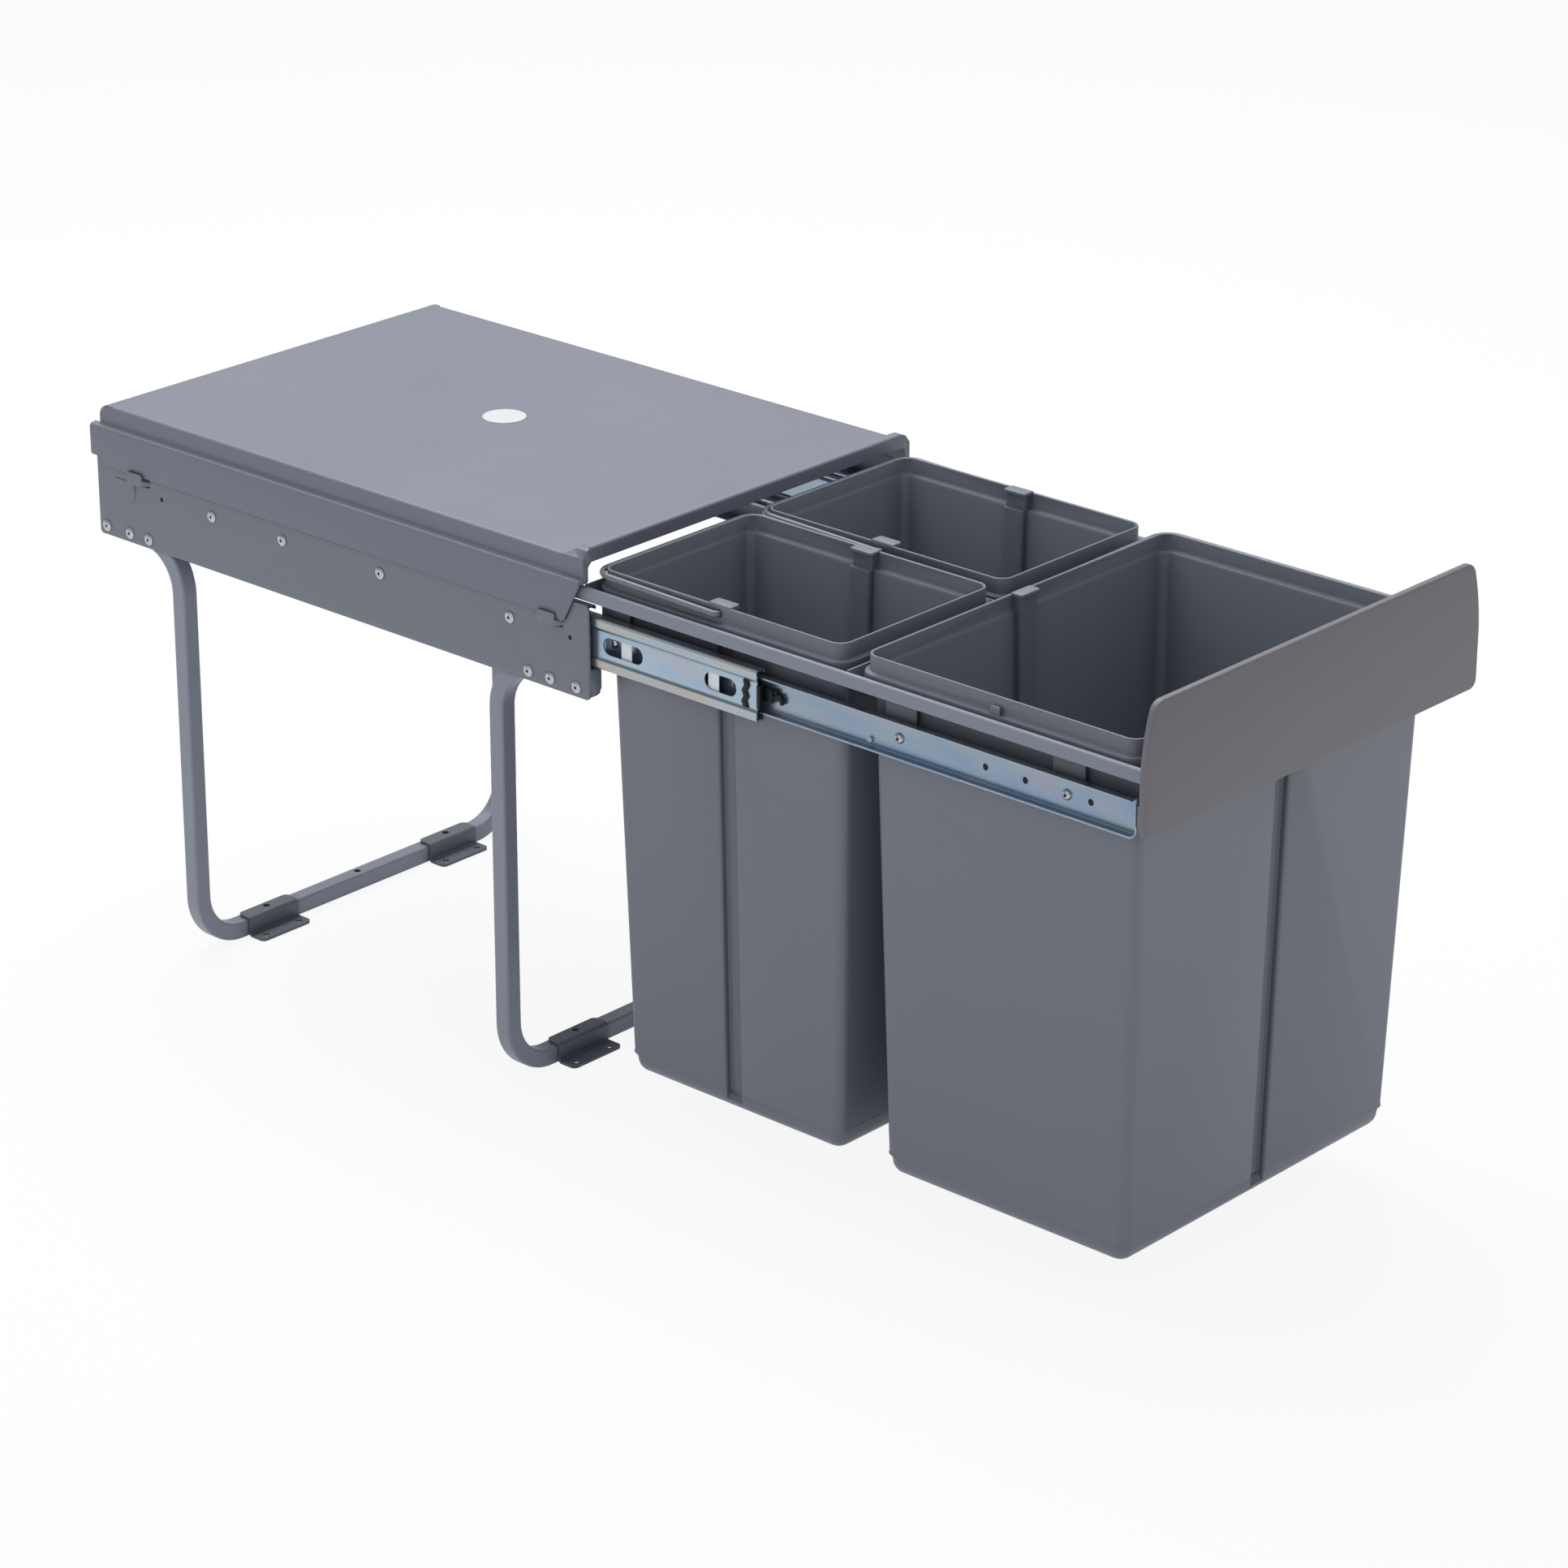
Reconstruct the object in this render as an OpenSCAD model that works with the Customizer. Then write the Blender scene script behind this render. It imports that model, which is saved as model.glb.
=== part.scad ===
// Pull out bin frame: a low steel frame that is screwed to a cabinet floor, with a carriage on
// three part ball slides that carries three lift out bins. Millimetres, +Z up, the front is -Y.
// The origin is the middle of the floor screw pattern, on the floor. The model is drawn pulled out.

/* [Frame] */
// overall width over the two side panels
frame_width = 330; // [290:1:370]
// thickness of the bent steel sheet
sheet = 1.5; // [1.2:0.1:2]
// distance between the two legs, front to back
leg_spacing = 317; // [280:1:340]
// from the front screw holes to the front end of the side panels
front_reach = 72.8; // [65:0.1:85]
// clear height under the side panels
panel_bottom = 307.2; // [290:0.1:330]
// height of a side panel at its front end
panel_height = 66.2; // [60:0.1:70]
// extra height of a side panel where the lid rests on it
shoulder_rise = 13.8; // [12:0.1:15]
// distance from the front end of a side panel to that extra height
shoulder_setback = 19; // [15:0.1:24]
// width of the flanges that are bent in from a side panel
flange_width = 10; // [8:0.1:12]
// height of the flange at the front end of a side panel
front_flange_height = 20.8; // [15:0.1:22]
// distances from the front end of a side panel to the slide's rivets
slide_rivet_setbacks = [72.8, 196.5, 293.6, 365.3]; // [60:0.1:400]
// distances from the front end of a side panel to its spare holes
spare_hole_setbacks = [17, 417.5]; // [10:0.1:440]
// distances from the front end of a side panel to the front leg's rivets
front_leg_rivets = [11.9, 36.1, 56.3]; // [8:0.1:60]
// distances from the rear end of a side panel to the rear leg's rivets
rear_leg_rivets = [51.7, 31.7, 7.4]; // [5:0.1:60]

/* [Legs and feet] */
// outside size of the square leg tube
tube = 13; // [12:0.1:14]
// wall of the leg tube
tube_wall = 1.2; // [1:0.1:1.6]
// outside corner radius of the leg tube
tube_corner = 2; // [1.6:0.1:3]
// bend radius of the leg tube at its centre line
tube_bend = 36.5; // [30:0.5:40]
// how far the end of a leg stays inside the end of its side panel
leg_end_gap = 4; // [2:0.5:8]
// thickness of a foot bracket
foot_sheet = 2; // [1.5:0.1:2.5]
// length of a foot bracket along the leg
foot_length = 48; // [44:1:56]
// distance from the outside of the frame to the middle of a foot bracket
foot_setback = 73; // [70:1:80]
// distance between the two floor screw holes of a foot bracket
foot_hole_pitch = 33; // [28:1:36]
// diameter of a floor screw hole
foot_hole = 5; // [4:0.1:6]
// distance from the leg's centre line to the floor screw holes
foot_hole_offset = 17; // [15:0.1:19]
// distance from the floor screw holes to the edge of the foot
foot_edge = 5.5; // [4.5:0.1:7]
// diameter of the hole over the leg and of the hole in the middle of the leg
centre_hole = 5.2; // [4:0.1:6]

/* [Lid] */
// space between a bin's rim and the top face of the lid
lid_headroom = 6.7; // [5:0.1:10]
// height of the raised front lip over the lid
lip_rise = 6.5; // [4:0.1:8]
// space between a bin's rim and the lower edge of the front lip
lip_clear = 3; // [2.6:0.1:4]
// depth of the slope up to the front lip
lip_slope = 10; // [8:0.5:14]
// depth of the flat top of the front lip
lip_flat = 7; // [5:0.5:9]
// how far the lid starts behind the front end of the side panels
lid_setback = 6.9; // [5:0.1:9]
// how far the lid's top ends ahead of the side panels
lid_rear_gap = 2; // [1:0.1:6]
// how far the skirt reaches past the rear end of the side panels
skirt_overhang = 4; // [2:0.1:6]
// height of the lid's skirt
skirt_height = 29; // [27:0.1:30]
// how far the skirt's front end reaches down past the rest of its lower edge
tongue_drop = 2; // [1:0.1:2.2]
// how far below the skirt's lower edge the clips start
clip_drop = 6.7; // [6.5:0.1:8]
// how far the clips reach up over the skirt
clip_grip = 2.2; // [1:0.1:4]
// length of a clip that holds the skirt, with its neck
clip_width = 21; // [18:0.5:24]
// bend radius of the lid's long edges
lid_bend = 2.2; // [1.2:0.1:2.2]
// bend radius of the lid's rear edge
lid_rear_bend = 8; // [4:0.5:9]
// distance from the front end of a side panel to the middle of the front clip
front_clip_setback = 33; // [32:0.1:45]
// distance from the rear end of a side panel to the middle of the rear clip
rear_clip_setback = 45.8; // [30:0.1:47]
// space between the skirt and what it slides past
skirt_clear = 0.5; // [0.3:0.1:1]
// width of the strips that close the lid's front corners
lip_end_width = 4.6; // [3:0.1:4.8]

/* [Slides] */
// length of the outer part of a slide
slide_length = 450; // [430:1:460]
// length of the middle part of a slide
middle_length = 440; // [430:1:450]
// length of the inner part of a slide
inner_length = 446; // [430:1:456]
// height of the outer part of a slide
slide_height = 45.5; // [44:0.1:47]
// how far the slides start behind the front end of the side panels
slide_setback = 5.3; // [3:0.1:8]
// how far the middle part's front end then starts behind the outer part's when pushed in
middle_setback = 3; // [0:0.1:5]
// thickness of the slide's steel
slide_sheet = 1.2; // [1:0.1:1.3]
// diameter of the balls between the outer and middle parts
outer_ball = 3.6; // [3.4:0.1:3.8]
// diameter of the balls between the middle and inner parts
inner_ball = 3.9; // [3.7:0.1:4.1]
// play around a ball
ball_play = 0.1; // [0.05:0.01:0.15]
// distance from the front end of the outer part to the cage behind it
outer_cage_setback = 11; // [8:0.5:14]
// how far the stop on the middle part reaches back along its web
bumper_reach = 8.5; // [6:0.5:10]
// thickness of a ball cage
cage_sheet = 0.6; // [0.5:0.1:0.7]
// length of the cage between the outer and middle parts
outer_cage_length = 200; // [180:1:210]
// length of the cage between the middle and inner parts
inner_cage_length = 130; // [110:1:132]
// number of balls in a row of the longer cage
outer_ball_count = 6; // [4:1:8]
// number of balls in a row of the shorter cage
inner_ball_count = 4; // [3:1:6]
// height of the slots in the middle part
slot_height = 12; // [9:0.1:13]
// places of the slots along the middle part
slot_setbacks = [18, 100.3, 380]; // [10:0.1:400]
// lengths of those slots
slot_lengths = [28, 35.7, 28]; // [20:0.1:40]
// distance from the back of the front panel to the inner part
inner_setback = 16.5; // [12:0.5:20]
// how far the brackets behind the front panel reach back along the inner part
bracket_reach = 24; // [20:1:30]
// distance from the front end of the inner part to the hole in a bracket
bracket_hole_setback = 10; // [9:0.5:12]
// distances from the front end of the inner part to its holes
inner_hole_setbacks = [34.4, 85.8, 117.5]; // [30:0.1:130]
// distance from the front end of the inner part to its stop
stop_setback = 211; // [200:1:220]
// distance from the front end of the inner part to the release lever's pin
lever_setback = 303; // [290:1:310]
// diameter of the holes in the inner part
inner_hole = 4.5; // [3.5:0.1:5.5]
// diameter of a rivet's shank
rivet_shank = 4; // [3:0.1:4.6]
// diameter of a rivet's head
rivet_head = 8; // [6.5:0.1:9]
// height of a rivet's head
rivet_rise = 1.2; // [0.8:0.1:1.4]
// diameter of the release lever's pin
lever_pin = 3; // [2:0.1:4]

/* [Carriage] */
// space between a side rail's inner leaf and the side panel
rail_gap = 5.1; // [4.6:0.1:6]
// width of the fold along the top of a side rail
hem_width = 4.7; // [4.2:0.1:5.2]
// height of the fold's outer leaf
hem_depth = 9; // [7:0.1:9.5]
// height of the rails
rail_height = 11; // [9:0.1:13]
// space between the slides and the rails above them
rail_clear = 2.7; // [2:0.1:4]
// how far the side rails reach back past the rear rail
rail_tail = 12; // [0:0.5:13]
// width of the ledges beside the cross bar and the centre bar
bar_ledge = 8; // [7.5:0.1:8.2]
// distances from the front end of the inner slide part to the middles of the hanger plates
hanger_setbacks = [52.8, 187.3, 433]; // [40:0.1:433]
// width of a hanger plate
hanger_width = 25; // [20:1:32]
// depth of the hanger plates below the rails
hanger_drop = 33; // [30:0.5:36]
// space between the front rail and the front panel
panel_standoff = 6.4; // [5:0.1:9]
// space behind the rear rail when the carriage is pushed in
rear_gap = 16.9; // [14:0.1:24]
// space between the front panel and the side panels when the carriage is pushed in
shut_gap = 3.2; // [2:0.1:6]
// space between the pulled out bins' handles and the lid
lid_clear = 1; // [1:0.1:3]

/* [Front panel] */
// how far the front panel reaches past each side panel
front_overhang = 6; // [0:0.5:12]
// how far each upper corner of the front panel is drawn in
front_top_inset = 8.9; // [4:0.1:14]
// height of the front panel
front_height = 87.5; // [80:0.5:95]
// height of the part of the front panel with upright sides
front_straight = 57.6; // [45:0.1:65]
// thickness of the front panel
front_thick = 5.5; // [4:0.1:7]
// corner radius of the front panel
front_corner = 8; // [5:0.5:12]
// how far the front panel hangs below the rails
front_drop = 29.95; // [24:0.05:34]
// diameter of the screws that hold the front panel
screw_shank = 4; // [3:0.1:5]

/* [Bins] */
// depth of a small bin over its rim, front to back
small_depth = 209.6; // [190:0.1:230]
// depth of the large bin over its rim, front to back
large_depth = 218; // [200:0.1:240]
// height of a bin
bin_height = 363.8; // [330:0.1:366]
// wall of a bin
bin_wall = 2; // [1.6:0.1:2.4]
// height of the collar above the bin's flange
collar_height = 11.1; // [10.5:0.1:14]
// width of the flange around a bin
bin_flange = 3.6; // [3.2:0.1:4.2]
// height of the lip under the flange
flange_lip = 10.9; // [8:0.1:12]
// wall of that lip
lip_wall = 1.5; // [1.2:0.1:2]
// how far a bin's front and rear walls are set in below the flange
end_step = 1.5; // [1.4:0.1:4]
// how far a small bin's side walls are set in below the flange
small_side_step = 4.2; // [4:0.1:6]
// how far the large bin's side walls are set in below the flange
large_side_step = 5; // [4:0.1:10]
// how much each side of a bin leans in towards its base
bin_lean = 8.3; // [4:0.1:9]
// height of the stepped base of a bin
base_height = 14; // [12:0.5:18]
// how far the stepped base is set in
base_step = 1.5; // [1:0.1:2]
// corner radius of a bin's rim
rim_corner = 10; // [7:0.5:14]
// corner radius of a bin's walls
body_corner = 8; // [7:0.5:10]
// radius of a bin's lower edge
base_round = 10; // [6:0.5:11]
// space between a bin's flange and the rails beside it
bin_side_gap = 1.3; // [1:0.1:1.6]
// space between a bin's flange and the rails before and behind it
bin_end_gap = 4.6; // [3:0.1:5]
// width of the groove in the middle of two walls of a bin
groove_width = 13; // [10:0.5:16]
// depth of that groove
groove_depth = 5; // [4:0.1:6]
// how far the cap over the groove stands out above the rim
cap_rise = 0.8; // [0.4:0.1:1.2]
// thickness of that cap
cap_thick = 2.4; // [2:0.1:2.6]
// how far that cap reaches in from the outside of the rim
cap_reach = 10; // [8:0.5:13]
// how far the head of the column under that cap is set back from its edge
head_setback = 1.5; // [1:0.1:2]
// diameter of a bin's wire handle
wire = 4.2; // [3.6:0.1:4.4]
// space between the handle and the collar
wire_gap = 0.8; // [0.6:0.1:0.9]
// height of the handle's pivot above the flange
pivot_rise = 6; // [5:0.1:6.4]
// play of the handle in its holes, all round
pivot_play = 0.5; // [0.2:0.1:0.6]
// how far the handle's pins reach into the bin
pin_reach = 6; // [4:0.5:7]
// height of the handle's bar above its pivots while it lies back
bar_rise = 2; // [0:0.1:3]

/* [Hidden] */
$fn = 48;
touch = 0.3;

// places across the frame, from the middle outwards
panel_out = frame_width / 2;
panel_in = panel_out - sheet;
skirt_in = panel_out + skirt_clear;
skirt_out = skirt_in + sheet;
riser_out = panel_in - 1.2;
riser_in = riser_out - sheet;
leg_x = panel_in - tube / 2;
foot_x = panel_out - foot_setback;
fin_out = panel_in - rail_gap;
fin_in = fin_out - sheet;
small_out = fin_in - bin_side_gap - bin_flange;
small_in = sheet / 2 + bin_side_gap + bin_flange;
small_width = small_out - small_in;
small_x = (small_out + small_in) / 2;
large_width = 2 * small_out;
front_half = panel_out + front_overhang;

// the slide's cross section: u is the distance in from the side panel, w the height from its centre
outer_lip = 3;
outer_depth = 11.2;
middle_w = slide_height / 2 - slide_sheet - outer_ball - 2 * ball_play;
inner_w = middle_w - slide_sheet - inner_ball - 2 * ball_play;
outer_ball_w = slide_height / 2 - slide_sheet - outer_ball / 2 - ball_play;
inner_ball_w = middle_w - slide_sheet - inner_ball / 2 - ball_play;
outer_cage_u = slide_sheet + 0.3;
middle_band_u = outer_cage_u + cage_sheet + 0.3;
middle_web_u = middle_band_u + 1;
inner_cage_u = middle_web_u + slide_sheet + 0.4;
inner_flange_u = inner_cage_u + cage_sheet + 0.6;
middle_depth = 11;
inner_web_u = 11.5;
inner_face_u = inner_web_u + slide_sheet;
outer_ball_u = 6.6;
inner_ball_u = 7.6;
hanger_out = panel_in - inner_face_u;
hanger_in = hanger_out - sheet;
bracket_screw_x = hanger_in - 13;

// places along the frame, front to back; the carriage is drawn pulled out
hole_y = leg_spacing / 2;
leg_front_y = -hole_y + foot_hole_offset;
leg_rear_y = hole_y + foot_hole_offset;
panel_front = -hole_y - front_reach;
carriage_length = panel_standoff + 3 * sheet + 4 * (bin_end_gap + bin_flange) + small_depth
  + large_depth;
panel_length = carriage_length + rear_gap - shut_gap;
panel_rear = panel_front + panel_length;
lid_front = panel_front + lid_setback;
lid_rear = panel_rear - lid_rear_gap;
wire_reach = wire_gap + wire;
small_rear = lid_front - lid_clear - wire_reach;
small_front = small_rear - small_depth;
small_y = (small_rear + small_front) / 2;
cross_rear = small_front - bin_flange - bin_end_gap;
cross_y = cross_rear - sheet / 2;
large_rear = cross_rear - sheet - bin_end_gap - bin_flange;
large_front = large_rear - large_depth;
large_y = (large_rear + large_front) / 2;
front_fin = large_front - bin_flange - bin_end_gap;
rear_fin = small_rear + bin_flange + bin_end_gap;
carriage_rear = rear_fin + sheet;
panel_back = front_fin - sheet - panel_standoff;
front_face = panel_back - front_thick;
travel = panel_rear - rear_gap - carriage_rear;

slide_front = panel_front + slide_setback;
middle_front = slide_front + middle_setback - travel / 3;
inner_front = panel_back + inner_setback;
outer_cage_front = slide_front + outer_cage_setback;
inner_cage_front = middle_front + bumper_reach + 1;
lever_y = inner_front + lever_setback;

// heights
slide_z = panel_bottom + 40.3;
leg_top_z = panel_bottom + 0.2 + tube / 2;
panel_top = panel_bottom + panel_height;
shoulder_top = panel_top + shoulder_rise;
ledge_z = slide_z + slide_height / 2 + rail_clear;
seat_z = ledge_z + sheet;
rail_top = ledge_z + rail_height;
flange_z = seat_z + touch + flange_lip;
rim_z = flange_z + collar_height;
bin_bottom = rim_z - bin_height;
pivot_z = flange_z + pivot_rise;
lid_seat = shoulder_top + touch;
lid_top = rim_z + lid_headroom;
lip_low = rim_z + lip_clear;
lip_top = lid_top + lip_rise;
skirt_low = lid_seat + sheet - skirt_height;

// rivets and holes along a side panel and an inner slide part
rivet_hole = rivet_shank + 0.2;
slide_rivet_ys = [for (d = slide_rivet_setbacks) panel_front + d];
spare_hole_ys = [for (d = spare_hole_setbacks) panel_front + d];
leg_rivet_ys = concat([for (d = front_leg_rivets) panel_front + d],
  [for (d = rear_leg_rivets) panel_rear - d]);
hanger_ys = [for (d = hanger_setbacks) inner_front + d];
front_clip_y = panel_front + front_clip_setback;
rear_clip_y = panel_rear - rear_clip_setback;
clip_ys = [front_clip_y, rear_clip_y];
clip_low = skirt_low - clip_drop;
clip_high = skirt_low + clip_grip;

// half the width of the cap over a groove
cap_half = groove_width / 2 + bin_wall + 1;

// how a bin's walls and the columns behind its grooves lean
lean_angle = atan(bin_lean / (bin_height - base_height - collar_height));
column_angle = atan((bin_lean + base_step) / (bin_height - base_round - collar_height));

// outlines and bent strips
function unit(v) = v / norm(v);
function left_of(v) = [-v.y, v.x];
function turned(v, a) = [v.x * cos(a) - v.y * sin(a), v.x * sin(a) + v.y * cos(a)];
function turn(a, b, c) = let (u = unit(b - a), v = unit(c - b)) atan2(u.x * v.y - u.y * v.x, u * v);

// the bend at b: pairs of a point on the centre line and the direction to its left
function bend(a, b, c, r, n) =
  let (u = unit(b - a), t = turn(a, b, c), s = sign(t),
    centre = b - u * r * tan(abs(t) / 2) + s * r * left_of(u))
  [for (i = [0:n]) let (side = left_of(turned(u, t * i / n))) [centre - s * r * side, side]];

function strip_line(p, r, n) = let (last = len(p) - 1) concat(
  [[p[0], left_of(unit(p[1] - p[0]))]],
  [for (i = [1:last - 1]) each bend(p[i - 1], p[i], p[i + 1], r, n)],
  [[p[last], left_of(unit(p[last] - p[last - 1]))]]);

// a strip of thickness t whose centre line runs through the points p, with bends of radius r
module strip(p, t, r, n = 4) {
  line = strip_line(p, r, n);
  polygon(concat([for (q = line) q[0] + q[1] * t / 2],
    [for (i = [len(line) - 1:-1:0]) line[i][0] - line[i][1] * t / 2]));
}

function corner(a, b, c, r, n) = r == 0 ? [b] : [for (q = bend(a, b, c, r, n)) q[0]];
function flat(p) = [p.x, p.y];

// a closed outline through points of [x, y, corner radius]
module outline(p, n = 6) {
  k = len(p);
  polygon([for (i = [0:k - 1])
    each corner(flat(p[(i + k - 1) % k]), flat(p[i]), flat(p[(i + 1) % k]), p[i].z, n)]);
}

module rounded_rect(w, d, r) {
  square([w - 2 * r, d], center = true);
  square([w, d - 2 * r], center = true);
  for (x = [-1, 1], y = [-1, 1]) {
    translate([x * (w / 2 - r), y * (d / 2 - r)]) circle(r);
  }
}

// a flat shape in y and z, carried from x0 to x1
module along_x(x0, x1) {
  translate([x0, 0, 0]) rotate([90, 0, 90]) linear_extrude(x1 - x0) children();
}

// a flat shape in x and z, carried from y0 to y1
module along_y(y0, y1) {
  translate([0, y1, 0]) rotate([90, 0, 0]) linear_extrude(y1 - y0) children();
}

module block(x0, x1, y0, y1, z0, z1) {
  translate([x0, y0, z0]) cube([x1 - x0, y1 - y0, z1 - z0]);
}

// a round bar or hole across the frame
module pin_x(x0, x1, y, z, d) {
  translate([x0, y, z]) rotate([0, 90, 0]) cylinder(h = x1 - x0, d = d);
}

module pin_y(y0, y1, x, z, d) {
  translate([x, y1, z]) rotate([90, 0, 0]) cylinder(h = y1 - y0, d = d);
}

module right_side() {
  mirror([1, 0, 0]) children();
}

// the frame

module side_panel() {
  difference() {
    union() {
      along_x(-panel_out, -panel_in) outline([
        [panel_front, panel_bottom, 3],
        [panel_front, panel_top, 4],
        [panel_front + shoulder_setback, panel_top, 2],
        [panel_front + shoulder_setback + 2, shoulder_top, 2],
        [panel_rear, shoulder_top, 5],
        [panel_rear, panel_bottom, 3]]);
      bottom_flange();
      front_flange();
      block(-panel_out, -panel_in + flange_width, panel_rear - sheet, panel_rear,
        panel_bottom + 18, shoulder_top - 5);
    }
    for (y = slide_rivet_ys) pin_x(-panel_out - 1, -panel_in + 1, y, slide_z, rivet_hole);
    for (y = leg_rivet_ys) pin_x(-panel_out - 1, -panel_in + 1, y, leg_top_z, rivet_hole);
    for (y = spare_hole_ys) pin_x(-panel_out - 1, -panel_in + 1, y, slide_z, 3.5);
    for (y = clip_ys) {
      block(-panel_out - 1, -panel_in + 1, y - clip_width / 2 + 1, y + clip_width / 2 + 0.6,
        clip_low - 0.4, clip_high + 0.4);
    }
  }
  for (y = clip_ys) clip(y);
}

// the bent in lower edge between the two legs
module bottom_flange() {
  flange_front = leg_front_y + tube / 2 + 9;
  flange_rear = leg_rear_y - tube / 2 - 7;
  intersection() {
    along_y(flange_front, flange_rear) strip([[-panel_in - sheet / 2, panel_bottom + 20],
      [-panel_in - sheet / 2, panel_bottom + sheet / 2],
      [-panel_in + flange_width, panel_bottom + sheet / 2]], sheet, 1.6);
    linear_extrude(panel_top) outline([
      [-panel_out, flange_front, 0],
      [-panel_in + flange_width, flange_front + 6, 4],
      [-panel_in + flange_width, flange_rear - 6, 4],
      [-panel_out, flange_rear, 0]]);
  }
}

// the bent in front edge, low enough for the slide to pass over it
module front_flange() {
  along_y(panel_front, panel_front + sheet) outline([
    [-panel_out, panel_bottom + 2, 0],
    [-panel_in + flange_width - 4, panel_bottom + 2, 0],
    [-panel_in + flange_width, panel_bottom + 6, 2],
    [-panel_in + flange_width, panel_bottom + front_flange_height, 3],
    [-panel_out, panel_bottom + front_flange_height, 0]]);
}

// a tab pushed out of the side panel to hold the skirt, with a neck at its front end
module clip(y) {
  clip_x = -skirt_out - touch - sheet / 2;
  root = y - clip_width / 2;
  free_end = y + clip_width / 2;
  intersection() {
    along_z(clip_low - 1, clip_high + 1) strip([
      [clip_x, free_end + 1], [clip_x, root + 5.5], [-panel_in - sheet / 2, root + 1.2],
      [-panel_in - sheet / 2, root - 4]], sheet, 1.4);
    along_x(-skirt_out - 3, -panel_in + 1) outline([
      [root - 3, clip_low + 1, 0],
      [root - 3, clip_low + 4.2, 0],
      [root + 5.4, clip_low + 4.2, 1],
      [root + 5.8, clip_high, 1],
      [free_end, clip_high, 1.5],
      [free_end, clip_low, 2],
      [root + 8, clip_low, 2],
      [root + 5, clip_low + 1, 1]]);
  }
}

module lid_cover() {
  top_mid = lid_top - sheet / 2;
  riser_mid = riser_out - sheet / 2;
  skirt_mid = skirt_out - sheet / 2;
  ledge_mid = lid_seat + sheet / 2;
  color("#8d909b") {
    intersection() {
      along_y(lid_front, panel_rear + skirt_overhang) strip([
        [-skirt_mid, skirt_low - tongue_drop], [-skirt_mid, ledge_mid], [-riser_mid, ledge_mid],
        [-riser_mid, top_mid], [riser_mid, top_mid],
        [riser_mid, ledge_mid], [skirt_mid, ledge_mid], [skirt_mid, skirt_low - tongue_drop]],
        sheet, lid_bend);
      along_x(-skirt_out - 1, skirt_out + 1) lid_side();
    }
    raised_edge();
    for (side = [0, 1]) mirror([side, 0, 0]) lip_end();
    // the rear edge, turned down
    along_x(-riser_out + 0.5, riser_out - 0.5) strip([
      [lid_rear - lid_rear_bend - 4, top_mid], [lid_rear - sheet / 2, top_mid],
      [lid_rear - sheet / 2, lid_seat + sheet]], sheet, lid_rear_bend, 8);
  }
}

// the lid seen from the side: what stays of its bent section
module lid_side() {
  slope_back = lid_front + lip_flat + lip_slope;
  front_tongue = front_clip_y - clip_width / 2;
  outline([
    [slope_back + 1, lid_top + 1, 0],
    [slope_back + 1, lid_seat + sheet + 0.2, 0],
    [lid_front, lid_seat + sheet + 0.2, 0],
    [lid_front, lid_seat - 1.5, 0],
    [front_tongue - 1, skirt_low - tongue_drop, 4],
    [front_tongue + 7.5, skirt_low - tongue_drop, 2],
    [front_tongue + 12, skirt_low, 2],
    [panel_rear - 6, skirt_low, 3],
    [panel_rear - 5, skirt_low + 6, 1],
    [panel_rear + skirt_overhang, skirt_low + 6, 2],
    [panel_rear + skirt_overhang, lid_seat + sheet + 0.2, 0],
    [lid_rear, lid_seat + sheet + 0.2, 0],
    [lid_rear, lid_top, lid_rear_bend + sheet / 2]]);
}

// the raised front edge: a sheet shell whose ends slope down to the risers
module raised_edge() {
  slope_back = lid_front + lip_flat + lip_slope;
  difference() {
    intersection() {
      along_x(-riser_out - 1, riser_out + 1) outline([
        [lid_front, lid_seat, 0],
        [lid_front, lip_top, 2],
        [lid_front + lip_flat, lip_top, 3],
        [slope_back, lid_top, 3],
        [slope_back + 2, lid_top, 0],
        [slope_back + 2, lid_seat, 0]]);
      along_y(lid_front - 1, slope_back + 3)
        raised_front(riser_out, lid_top - 1, 4.5, lip_top - 1.6, lip_top + 0.6);
    }
    intersection() {
      along_x(-riser_out, riser_out) outline([
        [lid_front + sheet, lid_seat - 1, 0],
        [lid_front + sheet, lip_top - sheet, 1],
        [lid_front + lip_flat - 0.4, lip_top - sheet, 3],
        [slope_back - 0.4, lid_top - sheet, 3],
        [slope_back + 3, lid_top - sheet, 0],
        [slope_back + 3, lid_seat - 1, 0]]);
      along_y(lid_front, slope_back + 4)
        raised_front(riser_in, lid_top - 1.9, 3.7, lip_top - 3.3, lip_top - 0.9);
    }
    block(-riser_out + 3, riser_out - 3, lid_front - 1, lid_front + sheet + 1,
      lid_seat - 2, lip_low);
  }
}

// the raised edge seen from the front, its corners cut by two slopes
module raised_front(half, low, in, mid, high) {
  outline([
    [-half, lid_seat - 3, 0],
    [-half, low, 3],
    [-half + in, mid, 4],
    [-half + 12, high, 0],
    [half - 12, high, 0],
    [half - in, mid, 4],
    [half, low, 3],
    [half, lid_seat - 3, 0]]);
}

// the piece at the end of the raised edge that reaches down to the skirt
module lip_end() {
  along_y(lid_front, lid_front + sheet) outline([
    [-skirt_out, lid_seat - 1.5, 0],
    [-skirt_out, lid_seat + sheet, 1],
    [-riser_out, lid_seat + sheet, 0],
    [-riser_out, lip_low + 3, 0],
    [-riser_out + 8, lip_low + 3, 0],
    [-riser_out + 8, lip_low, 0],
    [-riser_out + lip_end_width, lip_low - 3, 3],
    [-riser_out + lip_end_width, lid_seat - 1.5, 2]]);
}

module tube_section() {
  difference() {
    rounded_rect(tube, tube, tube_corner);
    rounded_rect(tube - 2 * tube_wall, tube - 2 * tube_wall, tube_corner - tube_wall);
  }
}

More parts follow.
